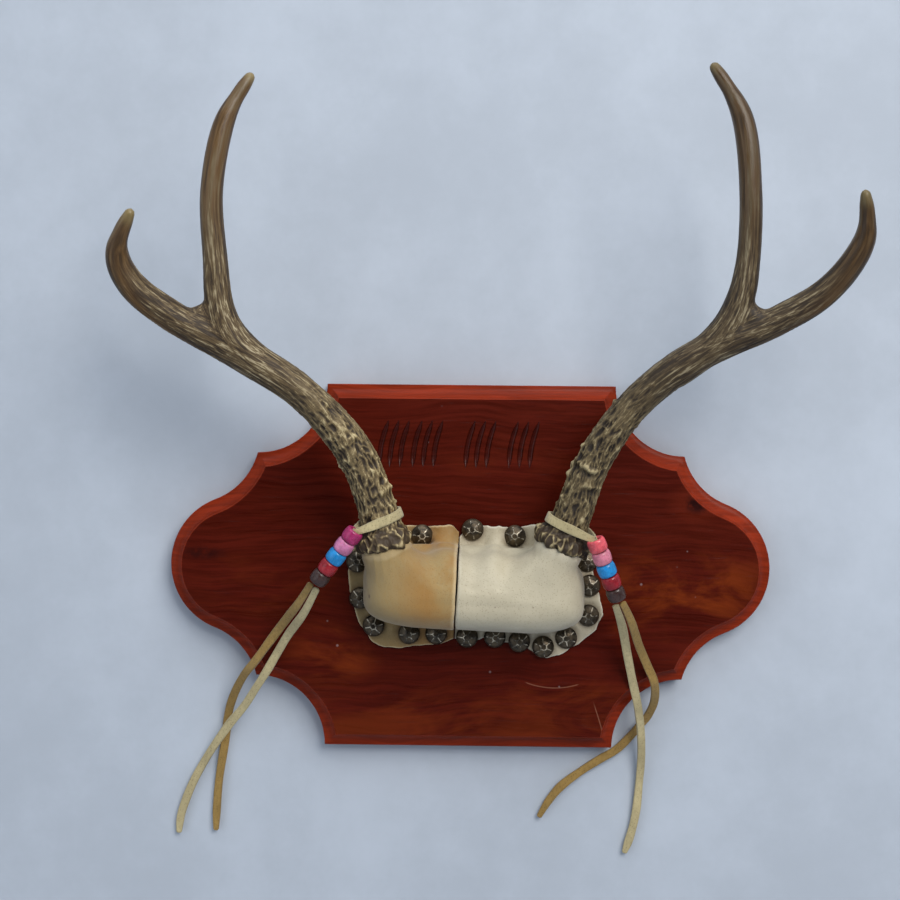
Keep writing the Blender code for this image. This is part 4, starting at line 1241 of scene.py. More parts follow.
def cover_surface(leather, margin, u, v, seed):
    """Places of the leather's upper side for a square of values from -1 to 1."""
    share = np.maximum(np.maximum(np.abs(u), np.abs(v)), 1e-6)
    qx, qz = u / share, v / share
    squeeze = (np.abs(qx) ** 4 + np.abs(qz) ** 4) ** -0.25
    shape = smooth_line(((0.95, 1.025, 0), (0.70, 0.995, 0), (0.44, 0.925, 0), (0.20, 0.79, 0), (0.05, 0.60, 0),
                         (0.0, 0.40, 0), (0.08, 0.16, 0), (0.22, 0.02, 0), (0.34, -0.035, 0)), 10)
    inset, lift = shape[:, 0] * 0.0155, np.maximum(shape[:, 1], 0) * leather.rise
    run = np.concatenate([[0], np.cumsum(np.hypot(np.diff(inset), np.diff(lift)) + 1e-5)])
    crest_share, foot_share = 0.20, 0.82
    on_wall = np.clip((share - crest_share) / (foot_share - crest_share), 0, 1) * run[-1]
    ring_inset = np.interp(on_wall, run, inset)
    ring_lift = np.interp(on_wall, run, lift)
    upward = ease(v / share, 0.60, 0.95)
    crest = np.clip(share / crest_share, 0, 1)
    half_x, half_z = leather.width / 2, leather.height / 2
    feet = [Shaft(ANTLER_LINES[side]["beam"]).at(-0.009)[0] for side in ("left", "right")]
    across = half_x * qx * squeeze * crest + MOUND_X
    tacks = tack_centres()
    beside_tack = np.abs(across[:, None] - tacks[tacks[:, 1] > MOUND_Z + half_z, 0][None]).min(1)
    bridge = 0.0080 * upward * ease(beside_tack, 0.0055, 0.0095)
    ring_inset = ring_inset - upward * ease(ring_lift, leather.rise * 0.30, 0.0) * (0.0030 + bridge * 0.35)
    ring_inset = ring_inset + upward * np.exp(-(beside_tack / 0.0065) ** 2) * ease(ring_lift, 0.004, 0.016) * 0.0040
    beyond = np.clip((share - foot_share) / (1 - foot_share), 0, 1)
    ring_lift = bridge * (1 - beyond) ** 2.5 + ring_lift * (1 - bridge / leather.rise)
    at_foot = sum(np.exp(-((across - foot.x) / 0.0135) ** 2) for foot in feet)
    ring_inset = ring_inset * (1 - 0.55 * at_foot * ease(v / share, 0.30, 0.85) * ease(ring_lift, 0.016, 0.026))
    x = (half_x - ring_inset) * qx * squeeze * crest
    z = (half_z - ring_inset) * qz * squeeze * crest
    y = BACK_Y - leather.thickness - ring_lift * (1 - 0.10 * z / half_z) - (1 - crest ** 2) * 0.0009
    z = z - 0.035 * x + 0.0045 * at_foot * ease(z, 0.004, 0.018) * ease(ring_lift, 0.010, 0.022)
    for foot in feet:
        near = (x + MOUND_X - foot.x) ** 2 + (z + MOUND_Z - foot.z - 0.003) ** 2
        y = y - 0.0048 * np.exp(-near / 0.0155 ** 2) * ease(ring_lift, 0.012, 0.030)
    direction = np.arctan2(z, x)
    reach = ragged_reach(leather, margin, direction, seed)
    out = ease(share, foot_share, 1.0) * 0.5 + np.clip((share - foot_share) / (1 - foot_share), 0, 1) * 0.5
    length = np.hypot(x, z)
    grown = length + (reach - length) * out
    x, z = x / np.maximum(length, 1e-9) * grown, z / np.maximum(length, 1e-9) * grown
    x, z = x + MOUND_X, z + MOUND_Z
    loose = ease(tack_distance(x, z), 0.0052, 0.0100) * ease(share, foot_share, foot_share + 0.05)
    place = np.stack([x, z, np.zeros_like(x)], axis=1)
    y = y - loose * (0.0004 + 0.0012 * np.clip(ripple(place / 0.008, seed + 3) + 0.3, 0, 1))
    return x, y, z


def laid_sheet(name, leather, margin, seed):
    """A square sheet laid over the mound and closed underneath."""
    start()
    bpy.ops.mesh.primitive_grid_add(x_subdivisions=150, y_subdivisions=150, size=2.0)
    piece = added(name)
    flat = points_of(piece)
    put_points(piece, np.stack(cover_surface(leather, margin, flat[:, 0], flat[:, 1], seed), axis=1))
    mesh = edit(piece)
    for edge in mesh.edges:
        edge.select_set(edge.is_boundary)
    bmesh.update_edit_mesh(piece.data)
    bpy.ops.mesh.extrude_region_move()
    mesh = bmesh.from_edit_mesh(piece.data)
    for vert in mesh.verts:
        if vert.select:
            vert.co.y = BACK_Y
    bmesh.update_edit_mesh(piece.data)
    bpy.ops.mesh.edge_face_add()
    leave_edit()
    face_outwards(piece)
    return piece


def collar_line(side):
    """Places and radii of the leather that is drawn up round an antler's foot to its burr."""
    shaft = Shaft(ANTLER_LINES[side]["beam"])
    steps = (-0.0190, -0.0150, -0.0110, -0.0080, -0.0058, -0.0044, -0.0036, -0.0033)
    radii = (0.0095, 0.0116, 0.0117, 0.0119, 0.0122, 0.0124, 0.0122, 0.0108)
    return [shaft.points[0] + shaft.forward[0] * step for step in steps], radii


def make_cover(name, node, leather, margin, keep, material, seed):
    """One leather cover: laid over the mound, drawn up round the antler and cut at the seam."""
    side = "left" if keep > 0 else "right"
    piece = laid_sheet(name, leather, margin, seed)
    collar = tube("collar", *collar_line(side))
    take(piece)
    collar.select_set(True)
    bpy.context.view_layer.objects.active = piece
    bpy.ops.object.join()
    apply_modifier(piece, "REMESH", mode="VOXEL", voxel_size=0.00055, use_smooth_shade=True)
    places, _ = collar_line(side)
    points = points_of(piece)
    near = np.linalg.norm(points - places[2], axis=1)
    weight = ease(near, 0.0260, 0.0170) * ease(np.linalg.norm(points - places[-1], axis=1), 0.0100, 0.0150)
    x, z = points[:, 0] - MOUND_X, points[:, 2] - MOUND_Z
    inside = ragged_reach(leather, margin, np.arctan2(z, x), seed) - np.hypot(x, z)
    top = ease(z, 0.0120, 0.0170) * ease(inside, 0.0030, 0.0050) * ease(points[:, 1], BACK_Y - 0.0018, BACK_Y - 0.0030)
    weight = np.maximum(weight, top * ease(tack_distance(points[:, 0], points[:, 2]), 0.0058, 0.0085))
    group = piece.vertex_groups.new(name="collar")
    for index in np.nonzero(weight > 0.01)[0]:
        group.add([int(index)], float(weight[index]), "REPLACE")
    apply_modifier(piece, "SMOOTH", factor=0.5, iterations=160, vertex_group="collar")
    apply_modifier(piece, "SMOOTH", factor=0.5, iterations=3)
    piece.vertex_groups.clear()
    edit(piece)
    bpy.ops.mesh.select_all(action="SELECT")
    gap = leather.seam_gap / 2
    bpy.ops.mesh.bisect(
        plane_co=(SEAM_X - keep * gap, 0, 0), plane_no=(1, 0, -SEAM_LEAN), use_fill=True,
        clear_outer=keep > 0, clear_inner=keep < 0)
    leave_edit()
    shape_cover(piece, leather, margin, keep, gap, seed, np.array(places[-1]))
    piece.data.materials.clear()
    piece.data.materials.append(material)
    shade_by_angle(piece, 50)
    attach(piece, "root")
    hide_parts(node)
    return piece


def shape_cover(piece, leather, margin, keep, gap, seed, burr_place):
    """Folds or frays the seam edge, lays in the wrinkles and stores what the material reads."""
    points = points_of(piece)
    normals = normals_of(piece)
    from_seam = keep * (SEAM_X + points[:, 2] * SEAM_LEAN - keep * gap - points[:, 0])
    front = ease(-points[:, 1], -BACK_Y + 0.0022, -BACK_Y + 0.0070)
    soft = ripple(points / 0.019, seed + 5) * 0.00050 + ripple(points / 0.0075, seed + 6) * 0.00012
    drawn = np.linalg.norm(points - burr_place, axis=1)
    pull = crests(points - burr_place, (0.0042, 0.0090, 0.0150), seed + 7) * ease(drawn, 0.026, 0.012)
    points = points + normals * ((soft + pull * 0.00022) * front)[:, None]
    heights = np.stack([points[:, 2] * 0, points[:, 1], points[:, 2]], axis=1)
    if keep > 0:
        fray = ripple(heights / 0.0042, 31) * 0.00055 + np.abs(ripple(heights / 0.0013, 32)) * 0.00045
        points[:, 0] -= fray * ease(from_seam, 0.0030, 0.0) * front
        points[:, 2] -= 0.0032 * ease(from_seam, 0.0050, 0.0) ** 2 * ease(points[:, 2] - MOUND_Z, 0.020, 0.027)
        fold = 0.0006
    else:
        fold = 0.0016
    round_over = np.clip(1 - from_seam / fold, 0, 1)
    drop = fold * (1 - np.sqrt(np.clip(1 - round_over ** 2, 0, 1)))
    facing = np.clip(-normals[:, 1], 0, 1)
    points[:, 1] += drop * front * facing
    points[:, 2] -= np.sign(points[:, 2] - MOUND_Z) * drop * front * (1 - facing) * 0.8
    put_points(piece, points)
    x, z = points[:, 0] - MOUND_X, points[:, 2] - MOUND_Z
    reach = ragged_reach(leather, margin, np.arctan2(z, x), seed)
    put_values(piece, "rim", ease(reach - np.hypot(x, z), 0.0011, 0.0002))
    put_values(piece, "tack_shade", ease(tack_distance(points[:, 0], points[:, 2]), 0.0080, 0.0055) * (1 - front))
    put_values(piece, "seam", ease(from_seam, 0.0022, 0.0004) * front)
    put_values(piece, "rise", np.clip((BACK_Y - points[:, 1]) / 0.036, 0, 1))
    put_values(piece, "lip", ease(np.linalg.norm(points - burr_place, axis=1), 0.0130, 0.0123))


def hide_material(name, colour, deep, kind):
    """Leather: the tan one is a napped suede, the cream one is smooth with fine pores and painted light on its lower
    roll.
    """
    suede = kind == "tan"
    material, g, shader = new_material(
        name, roughness=0.8, Sheen_Weight=0.25 if suede else 0.08, Sheen_Roughness=0.5,
        Specular_IOR_Level=0.28 if suede else 0.42)
    place = g.places()
    hide = g.add("ShaderNodeGroup", node_tree=leather_group())
    for key, value in (("Vector", place), ("Color", list(colour) + [1.0]), ("Deep", list(deep) + [1.0]),
                       ("Patches", 0.55 if suede else 0.30), ("Pores", 0.5 if suede else 0.8)):
        g.join(value, hide.inputs[key])
    shown = hide.outputs["Color"]
    split = g.add("ShaderNodeSeparateXYZ", {0: place})
    if suede:
        cloud = g.noise(place, 38.0, 4.0, 0.6)
        warm = g.math("MULTIPLY", g.remap(split.outputs["X"], -0.046, -0.010), g.remap(cloud, 0.30, 0.62))
        shown = g.mix(g.math("MULTIPLY", warm, 0.85), shown, (0.268, 0.124, 0.022, 1))
        olive = g.math("MULTIPLY", g.remap(split.outputs["X"], -0.022, -0.050), 0.55)
        shown = g.mix(olive, shown, (0.240, 0.180, 0.080, 1))
        spot = blot(g, place, -0.0483, -0.0108, 0.0008, 0.0015)
        shown = g.mix(g.math("MULTIPLY", spot, 0.8), shown, (0.100, 0.050, 0.020, 1))
        pale = (0.640, 0.520, 0.310, 1)
    else:
        cloud = g.noise(g.stretch(place, (40.0, 40.0, 55.0)), 1.0, 4.0, 0.6)
        shown = g.mix(g.remap(cloud, 0.35, 0.75, 0.0, 0.35), shown, (0.520, 0.470, 0.350, 1))
        # Painted light: the cream is lightened on the mound's lower roll, where shade falls.
        low = g.remap(split.outputs["Z"], -0.020, -0.030, 0.0, 0.35)
        shown = g.mix(low, shown, (0.480, 0.430, 0.320, 1))
        spots = g.math("MAXIMUM", blot(g, place, 0.0122, -0.0147, 0.0006, 0.0006),
                       blot(g, place, 0.0303, -0.0145, 0.0006, 0.0005))
        shown = g.mix(g.math("MULTIPLY", spots, 0.6), shown, (0.150, 0.110, 0.070, 1))
        pale = (0.640, 0.600, 0.490, 1)
    shown = g.mix(g.math("MULTIPLY", g.attribute("rim"), 0.6), shown, pale)
    shown = g.mix(g.math("MULTIPLY", g.attribute("seam"), 0.40 if suede else 0.15), shown, pale)
    shown = g.mix(g.math("MULTIPLY", g.attribute("lip"), 0.22 if suede else 0.1), shown, pale)
    # Darker towards the mound's foot and over the flat margin, broken by noise.
    foot = g.remap(g.attribute("rise"), 0.22, 0.03, 0.0, 0.30)
    darker_at_foot = g.math("MULTIPLY", foot, g.noise(place, 160.0))
    shown = g.mix(darker_at_foot, shown, (0.120, 0.070, 0.035, 1))
    shown = g.mix(g.math("MULTIPLY", g.attribute("tack_shade"), 0.35), shown, (0.100, 0.060, 0.035, 1))
    g.join(shown, shader.inputs["Base Color"])
    rough = hide.outputs["Roughness"]
    g.join(rough if suede else g.math("SUBTRACT", rough, 0.14), shader.inputs["Roughness"])
    crease = g.noise(g.stretch(place, (260.0, 120.0, 90.0)), 1.0, 4.0, 0.6, 0.6)
    height = g.math("ADD", hide.outputs["Height"], g.math("MULTIPLY", crease, 0.5 if suede else 1.1))
    raise_surface(g, shader, height, 0.40 if suede else 0.32, 0.0004)
    return material


class PLAQUE_OT_leather(bpy.types.Operator):
    """Models the two leather covers with their margins, seam and wrinkles"""

    bl_idname = "plaque.leather"
    bl_label = "Leather covers"

    def execute(self, context):
        leather = context.scene.plaque_leather
        tan = hide_material("tan_hide", leather.tan, (0.300, 0.175, 0.054), "tan")
        cream = hide_material("cream_hide", leather.cream, (0.390, 0.345, 0.240), "cream")
        make_cover("cover_tan_visual", "cover_tan", leather, TAN_MARGIN, 1, tan, 3)
        make_cover("cover_cream_visual", "cover_cream", leather, CREAM_MARGIN, -1, cream, 7)
        return {"FINISHED"}


# The tacks


def tack_materials():
    """Dark bronze, and a brighter metal for the ridges: partly real wear and partly a painted highlight that stands in
    for glints.
    """
    dark, g, shader = new_material("dark_bronze_visual", metallic=0.7)
    cloud = g.noise(g.places(), 300.0, 4.0, 0.65)
    g.join(g.mix(g.remap(cloud, 0.30, 0.75), (0.026, 0.020, 0.013, 1), (0.105, 0.076, 0.044, 1)),
           shader.inputs["Base Color"])
    g.join(g.remap(cloud, 0.3, 0.7, 0.26, 0.42), shader.inputs["Roughness"])
    # Worn edges and painted highlight: this brighter metal stands in for glints on the ridges as well as for wear.
    glint_bronze, g, shader = new_material("worn_bronze_visual", metallic=0.45)
    cloud = g.noise(g.places(), 420.0, 3.0, 0.6)
    g.join(g.mix(g.remap(cloud, 0.44, 0.62), (0.050, 0.040, 0.027, 1), (0.500, 0.440, 0.330, 1)),
           shader.inputs["Base Color"])
    g.join(g.remap(cloud, 0.3, 0.7, 0.25, 0.42), shader.inputs["Roughness"])
    return dark, glint_bronze


def tack_pattern(trim):
    """A domed head with a six-sided top facet; its ridges are bevelled and of the brighter metal, worn edges with a
    painted highlight.
    """
    start()
    radius, base, sides = trim.tack / 2, 0.00045, 24
    bpy.ops.mesh.primitive_cylinder_add(vertices=sides, radius=radius, depth=2 * base)
    piece = added("tack_pattern")
    for material in tack_materials():
        piece.data.materials.append(material)
    for reach, rise, six in ((0.96, 0.36, 0.0), (0.86, 0.58, 0.30), (0.62, 0.84, 0.80), (0.29, 1.0, 1.0)):
        mesh = edit(piece)
        top = max(vert.co.z for vert in mesh.verts)
        for face in mesh.faces:
            if min(vert.co.z for vert in face.verts) > top - 1e-6:
                face.select_set(True)
        bmesh.update_edit_mesh(piece.data)
        bpy.ops.mesh.extrude_region_move()
        mesh = bmesh.from_edit_mesh(piece.data)
        for vert in mesh.verts:
            if vert.select:
                turn = math.atan2(vert.co.y, vert.co.x)
                flat = math.cos(math.pi / 6) / math.cos(turn % (math.pi / 3) - math.pi / 6)
                here = radius * reach * (1 - six * (1 - flat))
                vert.co = (math.cos(turn) * here, math.sin(turn) * here, trim.tack_rise * rise - base)
        bmesh.update_edit_mesh(piece.data)
        leave_edit()
    mesh = edit(piece)
    for edge in mesh.edges:
        low, high = sorted(vert.co.z for vert in edge.verts)
        turns = [(math.atan2(vert.co.y, vert.co.x) / (math.pi / 3) + 0.02) % 1 for vert in edge.verts]
        ray = high - low > 1e-5 and max(turns) < 0.04
        edge.select_set(low > trim.tack_rise * 0.57 - base and (ray or low > trim.tack_rise * 0.99 - base))
    bmesh.update_edit_mesh(piece.data)
    # The bevels get the brighter metal: worn edges and painted highlight.
    bpy.ops.mesh.bevel(offset=0.00026, segments=1, material=1)
    leave_edit()
    shade_by_angle(piece, 13)
    return piece


class PLAQUE_OT_tacks(bpy.types.Operator):
    """Models one faceted tack and copies it to every tack's place"""

    bl_idname = "plaque.tacks"
    bl_label = "Tacks"

    def execute(self, context):
        trim = context.scene.plaque_trim
        pattern = tack_pattern(trim)
        chance = np.random.default_rng(5)
        for number in range(1, 17):
            node = f"tack_{number:02d}"
            low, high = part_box(node)
            take(pattern)
            bpy.ops.object.duplicate()
            piece = bpy.context.active_object
            piece.name = f"{node}_visual"
            piece.data.name = piece.name
            tilt = Matrix.Rotation(chance.uniform(-0.10, 0.10), 4, "X") @ Matrix.Rotation(
                chance.uniform(-0.10, 0.10), 4, "Z")
            spin = Matrix.Rotation(chance.uniform(0, math.tau), 4, "Y")
            lift = high[1] - (high[1] - FACE_Y) - 0.0022
            place = Matrix.Translation(((low[0] + high[0]) / 2, lift - 0.0002, (low[2] + high[2]) / 2))
            piece.matrix_world = place @ tilt @ spin @ Matrix.Rotation(math.pi / 2, 4, "X")
            apply_place(piece)
            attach(piece, "root")
            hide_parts(node)
        bpy.data.objects.remove(pattern, do_unlink=True)
        return {"FINISHED"}


# The beads and laces


def bead_material(colour_name):
    """Opaque moulded plastic with faint streaks and handling marks."""
    name, colour = f"bead_{colour_name}_plastic", BEAD_COLOURS[colour_name]
    if name in bpy.data.materials:
        return bpy.data.materials[name]
    material, g, shader = new_material(name, Coat_Weight=0.12, Coat_Roughness=0.15, Specular_IOR_Level=0.35,
                                       Subsurface_Weight=0.08, Subsurface_Scale=0.001)
    place = g.places()
    cloud = g.noise(place, 320.0, 3.0, 0.6)
    lighter = [min(1.0, c * 1.00 + 0.004) for c in colour] + [1.0]
    darker = [c * 0.68 for c in colour] + [1.0]
    g.join(g.mix(g.remap(cloud, 0.35, 0.65), darker, lighter), shader.inputs["Base Color"])
    g.join(g.remap(g.noise(place, 900.0, 2.0), 0.35, 0.7, 0.24, 0.42), shader.inputs["Roughness"])
    raise_surface(g, shader, cloud, 0.10, 0.0002)
    return material


def bead_middle(side, number):
    """The middle of a bead's CAD solid."""
    low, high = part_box(f"bead_{side}_{number}")
    return (Vector(low) + Vector(high)) / 2


def make_beads(side, trim):
    """The five barrel beads of one string, each a turned ring with rounded rims."""
    run = (bead_middle(side, 5) - bead_middle(side, 1)).normalized()
    turn = Vector((0, 0, 1)).rotation_difference(run).to_matrix().to_4x4()
    outer, hole, half = trim.bead / 2, 0.0021, trim.bead_length / 2
    chance = np.random.default_rng(9 if side == "left" else 10)
    for number, colour in enumerate(BEAD_STRINGS[side], start=1):
        start()
        bpy.ops.mesh.primitive_torus_add(
            major_segments=64, minor_segments=28, major_radius=1.0, minor_radius=0.5)
        piece = added(f"bead_{side}_{number}_visual")
        points = points_of(piece)
        far = np.hypot(points[:, 0], points[:, 1])
        a, b = (far - 1.0) / 0.5, points[:, 2] / 0.5
        size = (np.abs(a) ** 2.6 + np.abs(b) ** 2.6) ** (1 / 2.6)
        a, b = a / size, b / size
        reach = (outer + hole) / 2 + a * (outer - hole) / 2
        shaped = np.stack([points[:, 0] / far * reach, points[:, 1] / far * reach, b * half], axis=1)
        put_points(piece, shaped)
        sway = Matrix.Rotation(chance.uniform(-0.05, 0.05), 4, "X")
        piece.matrix_world = Matrix.Translation(bead_middle(side, number)) @ turn @ sway
        apply_place(piece)
        piece.data.materials.clear()
        piece.data.materials.append(bead_material(colour))
        shade_by_angle(piece, 60)
        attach(piece, "root")
        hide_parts(f"bead_{side}_{number}")


def lace_material(name, colour, deep):
    """Suede lace: napped, a little darker along its cut sides."""
    material, g, shader = new_material(name, Sheen_Weight=0.20, Specular_IOR_Level=0.25)
    place = g.places()
    hide = g.add("ShaderNodeGroup", node_tree=leather_group())
    for key, value in (("Vector", place), ("Color", list(colour) + [1.0]), ("Deep", list(deep) + [1.0]),
                       ("Patches", 0.7), ("Pores", 1.0)):
        g.join(value, hide.inputs[key])
    shown = g.mix(g.math("MULTIPLY", g.attribute("cut"), 0.45), hide.outputs["Color"], list(deep) + [1.0])
    g.join(shown, shader.inputs["Base Color"])
    g.join(hide.outputs["Roughness"], shader.inputs["Roughness"])
    raise_surface(g, shader, hide.outputs["Height"], 0.5, 0.0003)
    return material


def strip(name, points, widths, flats, thickness, taper=True, seed=0):
    """A flat strip of leather with soft corners along a line; flats are its face's directions."""
    forward = np.gradient(points, axis=0)
    forward /= np.linalg.norm(forward, axis=1)[:, None]
    corners = ((-0.5, -0.30), (-0.46, -0.46), (-0.30, -0.5), (0.0, -0.5), (0.30, -0.5), (0.46, -0.46),
               (0.5, -0.30), (0.5, 0.30), (0.46, 0.46), (0.30, 0.5), (0.0, 0.5), (-0.30, 0.5), (-0.46, 0.46),
               (-0.5, 0.30))
    rings = []
    cut = []
    for k, (place, direction, flat) in enumerate(zip(points, forward, flats)):
        out = flat - direction * flat.dot(direction)
        out /= np.linalg.norm(out)
        wide = np.cross(direction, out)
        share = 0.55 if taper and k in (0, len(points) - 1) else 1.0
        rings.append([Vector(place + wide * across * widths[k] * share + out * up * thickness * share)
                      for across, up in corners])
        cut += [1.0 if abs(across) > 0.45 else 0.0 for across, up in corners]
    piece = sheath(name, rings)
    put_values(piece, "cut", cut)
    shade_by_angle(piece, 45)
    return piece


def make_band(side, trim, material):
    """The lace round an antler: it wraps the beam and both ends run down into the first bead."""
    shaft = Shaft(ANTLER_LINES[side]["beam"])
    rise, lean = {"left": (0.0098, 21.0), "right": (0.0073, -23.0)}[side]
    centre, _, direction = shaft.at(rise)
    thickest = shaft.at(rise - trim.lace)[1]
    axis = Vector((-math.sin(math.radians(lean)), direction.y, math.cos(math.radians(lean)))).normalized()
    viewer = Vector((0, -1, 0))
    front = (viewer - axis * viewer.dot(axis)).normalized()
    outward = math.copysign(1, centre.x) * axis.cross(front)
    radius = thickest * 0.99 + 0.0003 + trim.lace_thickness * 0.60
    run = (bead_middle(side, 5) - bead_middle(side, 1)).normalized()
    entry = bead_middle(side, 1) - run * (trim.bead_length / 2 - 0.0012)
    flat_entry = entry - centre
    toward = math.atan2(flat_entry.dot(front), flat_entry.dot(outward))
    far = math.hypot(flat_entry.dot(front), flat_entry.dot(outward))
    leave = math.acos(min(radius / far, 1.0)) * 0.92
    turns = np.linspace(toward + leave, toward + math.tau - leave, 72)
    line = []
    flats = []
    for angle in turns:
        out = outward * math.cos(angle) + front * math.sin(angle)
        line.append(centre + out * radius)
        flats.append(out)
    pinch = run.cross(axis.cross(run)).normalized()
    side_step = axis.cross(entry - centre).normalized() * trim.lace_thickness * 0.42
    ends = []
    for sign, edge in ((1, line[0]), (-1, line[-1])):
        goal = entry + side_step * sign
        path = [edge.lerp(goal, t) + (edge - centre).normalized() * 0.0006 * math.sin(math.pi * t)
                for t in (0.25, 0.5, 0.75)]
        path += [goal, goal + run * 0.0022]
        ends.append(path)
    first, last = ends
    whole = list(reversed(first)) + line + last
    turn_first = [side_step.normalized()] * 2 + [flats[0]] * 3
    turn_last = [flats[-1]] * 3 + [-side_step.normalized()] * 2
    faces = turn_first + flats + turn_last
    points = smooth_line([tuple(p) for p in whole], 2)
    facing = smooth_line([tuple(f) for f in faces], 2)
    share = np.linspace(0, 1, len(points))
    edge_in = np.minimum(share, 1 - share) * len(points)
    widths = trim.lace * (1.06 - 0.34 * ease(edge_in, 10, 2)) * (1 + 0.04 * np.sin(share * 23))
    band = strip(f"lace_{side}_visual", points, widths, facing, trim.lace_thickness)
    band.data.materials.append(material)
    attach(band, "root")
    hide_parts(f"lace_{side}")


def make_tail(name, trim, material, seed):
    """A free lace end, a flat strip that twists a little on its way down."""
    route = np.array(TAIL_ROUTES[name], float) * (MM, -MM, MM)
    points = smooth_line([tuple(p) for p in route], 10)
    count = len(points)
    t = np.linspace(0, 1, count)
    forward = np.gradient(points, axis=0)
    forward /= np.linalg.norm(forward, axis=1)[:, None]
    stray = np.stack([t * 5, t * 0 + seed, t * 0], axis=1)
    twist = ripple(stray, seed) * 0.9
    viewer = np.array((0, -1.0, 0))
    flats = []
    for direction, angle in zip(forward, twist):
        out = viewer - direction * viewer.dot(direction)
        out /= np.linalg.norm(out)
        flats.append(out * math.cos(angle) + np.cross(direction, out) * math.sin(angle))
    narrow = 0.80 + 0.20 * ease(t, 0.0, 0.12)
    widths = trim.lace * narrow * (1 + 0.10 * ripple(stray * 2.2, seed + 1)) * (1 - 0.35 * ease(t, 0.93, 1.0))
    piece = strip(f"{name}_visual", points, widths, flats, trim.lace_thickness)
    piece.data.materials.append(material)
    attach(piece, "root")
    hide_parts(name)


class PLAQUE_OT_laces(bpy.types.Operator):
    """Models the laces round the antlers, their beads and their free ends"""

    bl_idname = "plaque.laces"
    bl_label = "Laces and beads"

    def execute(self, context):
        trim = context.scene.plaque_trim
        pale = lace_material("pale_lace", trim.pale, [c * 0.55 for c in trim.pale])
        gold = lace_material("golden_lace", trim.gold, [c * 0.50 for c in trim.gold])
        for seed, name in enumerate(TAIL_ROUTES):
            front = name.endswith("front")
            make_tail(name, trim, pale if front else gold, seed + 2)
        for side in ("left", "right"):
            make_beads(side, trim)
            make_band(side, trim, pale)
        return {"FINISHED"}


# Camera, light and backdrop


def camera_matrix(stage):
    """The camera's place and turn from its pan, tilt and roll."""
    pan, tilt, roll = stage.camera_turn
    forward = Vector((math.sin(pan) * math.cos(tilt), math.cos(pan) * math.cos(tilt), math.sin(tilt)))
    level = forward.cross(Vector((0, 0, 1))).normalized()
    upright = level.cross(forward)
    right = level * math.cos(roll) + upright * math.sin(roll)
    up = -level * math.sin(roll) + upright * math.cos(roll)
    turn = Matrix((right, up, -forward)).transposed().to_4x4()
    return Matrix.Translation(stage.camera_place) @ turn


def add_lamp(name, place, goal, size, power, colour):
    """A soft square lamp that looks at a goal."""
    lamp = bpy.data.lights.new(name, "AREA")
    lamp.shape = "SQUARE"
    lamp.size = size
    lamp.energy = power
    lamp.color = colour
    thing = bpy.data.objects.new(name, lamp)
    thing.location = place
    thing.rotation_euler = (Vector(goal) - Vector(place)).to_track_quat("-Z", "Y").to_euler()
    bpy.context.scene.collection.objects.link(thing)
    return thing


def wall_material(stage, see_through):
    """Pale paint; a wall that is seen from behind shows what hangs on it."""
    material, g, shader = new_material("pale_wall" if see_through else "pale_floor", roughness=0.85)
    place = g.places()
    cloud = g.noise(place, 7.0, 6.0, 0.7)
    base = list(stage.wall) + [1.0]
    shade = [c * 0.86 for c in stage.wall] + [1.0]
    g.join(g.mix(g.remap(cloud, 0.35, 0.70), shade, base), shader.inputs["Base Color"])
    if see_through:
        tree = material.node_tree
        back = g.add("ShaderNodeNewGeometry").outputs["Backfacing"]
        clear = g.add("ShaderNodeBsdfTransparent")
        mix = g.add("ShaderNodeMixShader", {0: back, 1: shader.outputs[0], 2: clear.outputs[0]})
        tree.links.new(mix.outputs[0], tree.nodes["Material Output"].inputs["Surface"])
    return material


def studio_world():
    """Pale surroundings, brighter overhead and dark behind the camera, where nothing is lit."""
    world = bpy.data.worlds.new("studio")
    world.use_nodes = True
    g = Graph(world.node_tree)
    toward = g.add("ShaderNodeSeparateXYZ", {0: g.add("ShaderNodeTexCoord").outputs["Generated"]})
    height = g.remap(toward.outputs["Z"], -0.4, 0.9, 0.45, 1.0)
    ahead = g.remap(toward.outputs["Y"], -0.98, -0.55, 0.10, 1.0)
    background = world.node_tree.nodes["Background"]
    background.inputs["Color"].default_value = (0.80, 0.88, 1.0, 1.0)
    g.join(g.math("MULTIPLY", g.math("MULTIPLY", height, ahead), 0.75), background.inputs["Strength"])
    return world


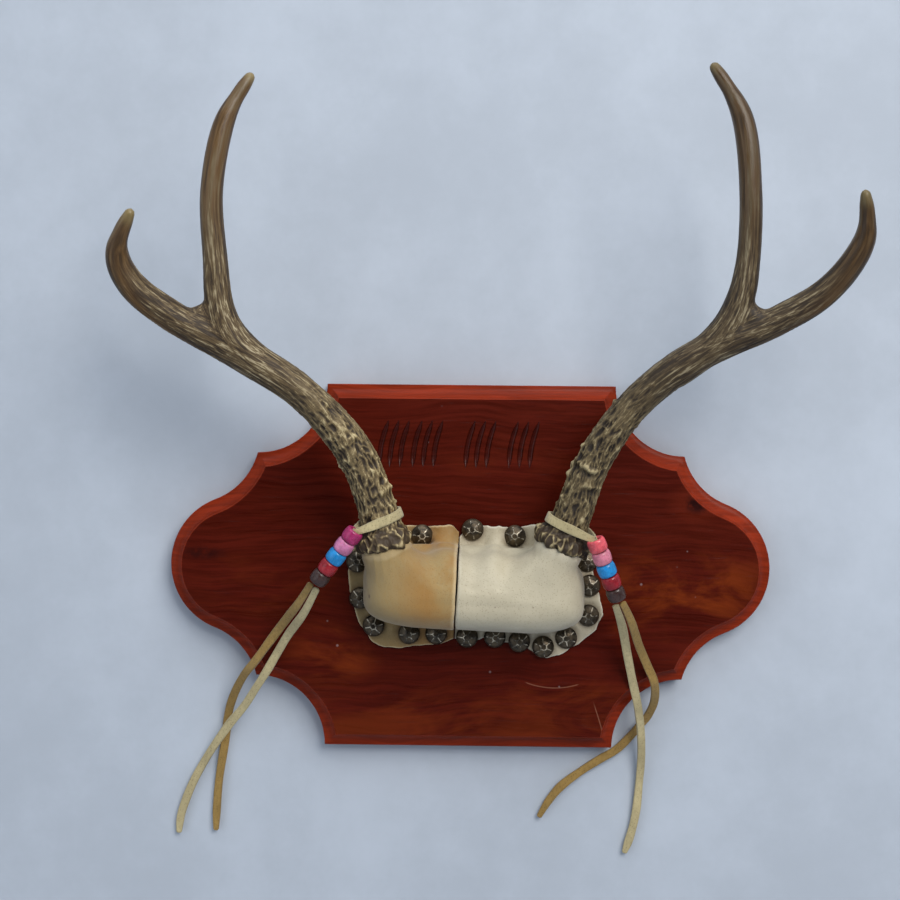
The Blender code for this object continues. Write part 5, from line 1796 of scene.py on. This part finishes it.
class PLAQUE_OT_stage(bpy.types.Operator):
    """Sets up the camera, a pale wall and floor, and soft light"""

    bl_idname = "plaque.stage"
    bl_label = "Stage"

    def execute(self, context):
        stage = context.scene.plaque_stage
        camera = bpy.data.objects.new("camera", bpy.data.cameras.new("camera"))
        camera.data.sensor_width = 36.0
        camera.data.lens = stage.lens
        camera.matrix_world = camera_matrix(stage)
        context.scene.collection.objects.link(camera)
        context.scene.camera = camera
        outline = board_outline(context.scene.plaque_board, 0.004, 2)
        inner = [Vector((p.x, 0.0006, p.y)) for p in outline]
        outer = [Vector((p.x, 0.0, p.z)).normalized() * 2.2 + Vector((0, 0.0006, 0)) for p in inner]
        bm = bmesh.new()
        low = [bm.verts.new(p) for p in inner]
        high = [bm.verts.new(p) for p in outer]
        for i in range(len(low)):
            j = (i + 1) % len(low)
            bm.faces.new((low[i], low[j], high[j], high[i]))
        bmesh.ops.recalc_face_normals(bm, faces=bm.faces)
        bm.normal_update()
        if bm.faces[0].normal.y > 0:
            bmesh.ops.reverse_faces(bm, faces=bm.faces)
        mesh = bpy.data.meshes.new("wall")
        bm.to_mesh(mesh)
        bm.free()
        wall = bpy.data.objects.new("wall", mesh)
        context.scene.collection.objects.link(wall)
        mesh.materials.append(wall_material(stage, True))
        start()
        bpy.ops.mesh.primitive_plane_add(size=6.0, location=(0, 0, -0.60))
        floor = added("floor")
        apply_place(floor)
        floor.data.materials.append(wall_material(stage, False))
        add_lamp("key", (0.62, -1.35, 0.85), (0.0, 0.0, 0.03), 0.9, 25.0, (1.0, 0.97, 0.93))
        add_lamp("top", (-0.10, -0.45, 1.50), (0.0, -0.05, 0.03), 1.3, 11.0, (0.90, 0.95, 1.0))
        add_lamp("fill", (-1.3, -1.3, 0.1), (0.0, 0.0, 0.03), 1.2, 5.0, (0.86, 0.92, 1.0))
        world = studio_world()
        context.scene.world = world
        context.scene.view_settings.view_transform = "Standard"
        return {"FINISHED"}


class PLAQUE_PT_panel(bpy.types.Panel):
    """Every piece of the plaque and its settings"""

    bl_idname = "PLAQUE_PT_panel"
    bl_label = "Antler Plaque"
    bl_space_type = "VIEW_3D"
    bl_region_type = "UI"
    bl_category = "Plaque"

    def draw(self, context):
        layout = self.layout
        for operator in STEPS:
            layout.operator(operator.bl_idname)
        for name, group in SETTINGS:
            box = layout.box()
            for key in group.__annotations__:
                box.prop(getattr(context.scene, name), key)


SETTINGS = (
    ("plaque_board", BoardSettings), ("plaque_antler", AntlerSettings), ("plaque_leather", LeatherSettings),
    ("plaque_trim", TrimSettings), ("plaque_stage", StageSettings),
)
STEPS = (PLAQUE_OT_stage, PLAQUE_OT_laces, PLAQUE_OT_board, PLAQUE_OT_antlers, PLAQUE_OT_leather,
         PLAQUE_OT_tacks)


def register():
    """Registers the settings, operators and panel."""
    for name, group in SETTINGS:
        bpy.utils.register_class(group)
        setattr(bpy.types.Scene, name, bpy.props.PointerProperty(type=group))
    for operator in STEPS + (PLAQUE_PT_panel,):
        bpy.utils.register_class(operator)


def unregister():
    """Takes the settings, operators and panel away."""
    for operator in reversed(STEPS + (PLAQUE_PT_panel,)):
        bpy.utils.unregister_class(operator)
    for name, group in reversed(SETTINGS):
        delattr(bpy.types.Scene, name)
        bpy.utils.unregister_class(group)


def main():
    register()
    bpy.ops.plaque.stage()
    bpy.ops.plaque.laces()
    bpy.ops.plaque.board()
    bpy.ops.plaque.antlers()
    bpy.ops.plaque.leather()
    bpy.ops.plaque.tacks()


if __name__ == "__main__":
    main()
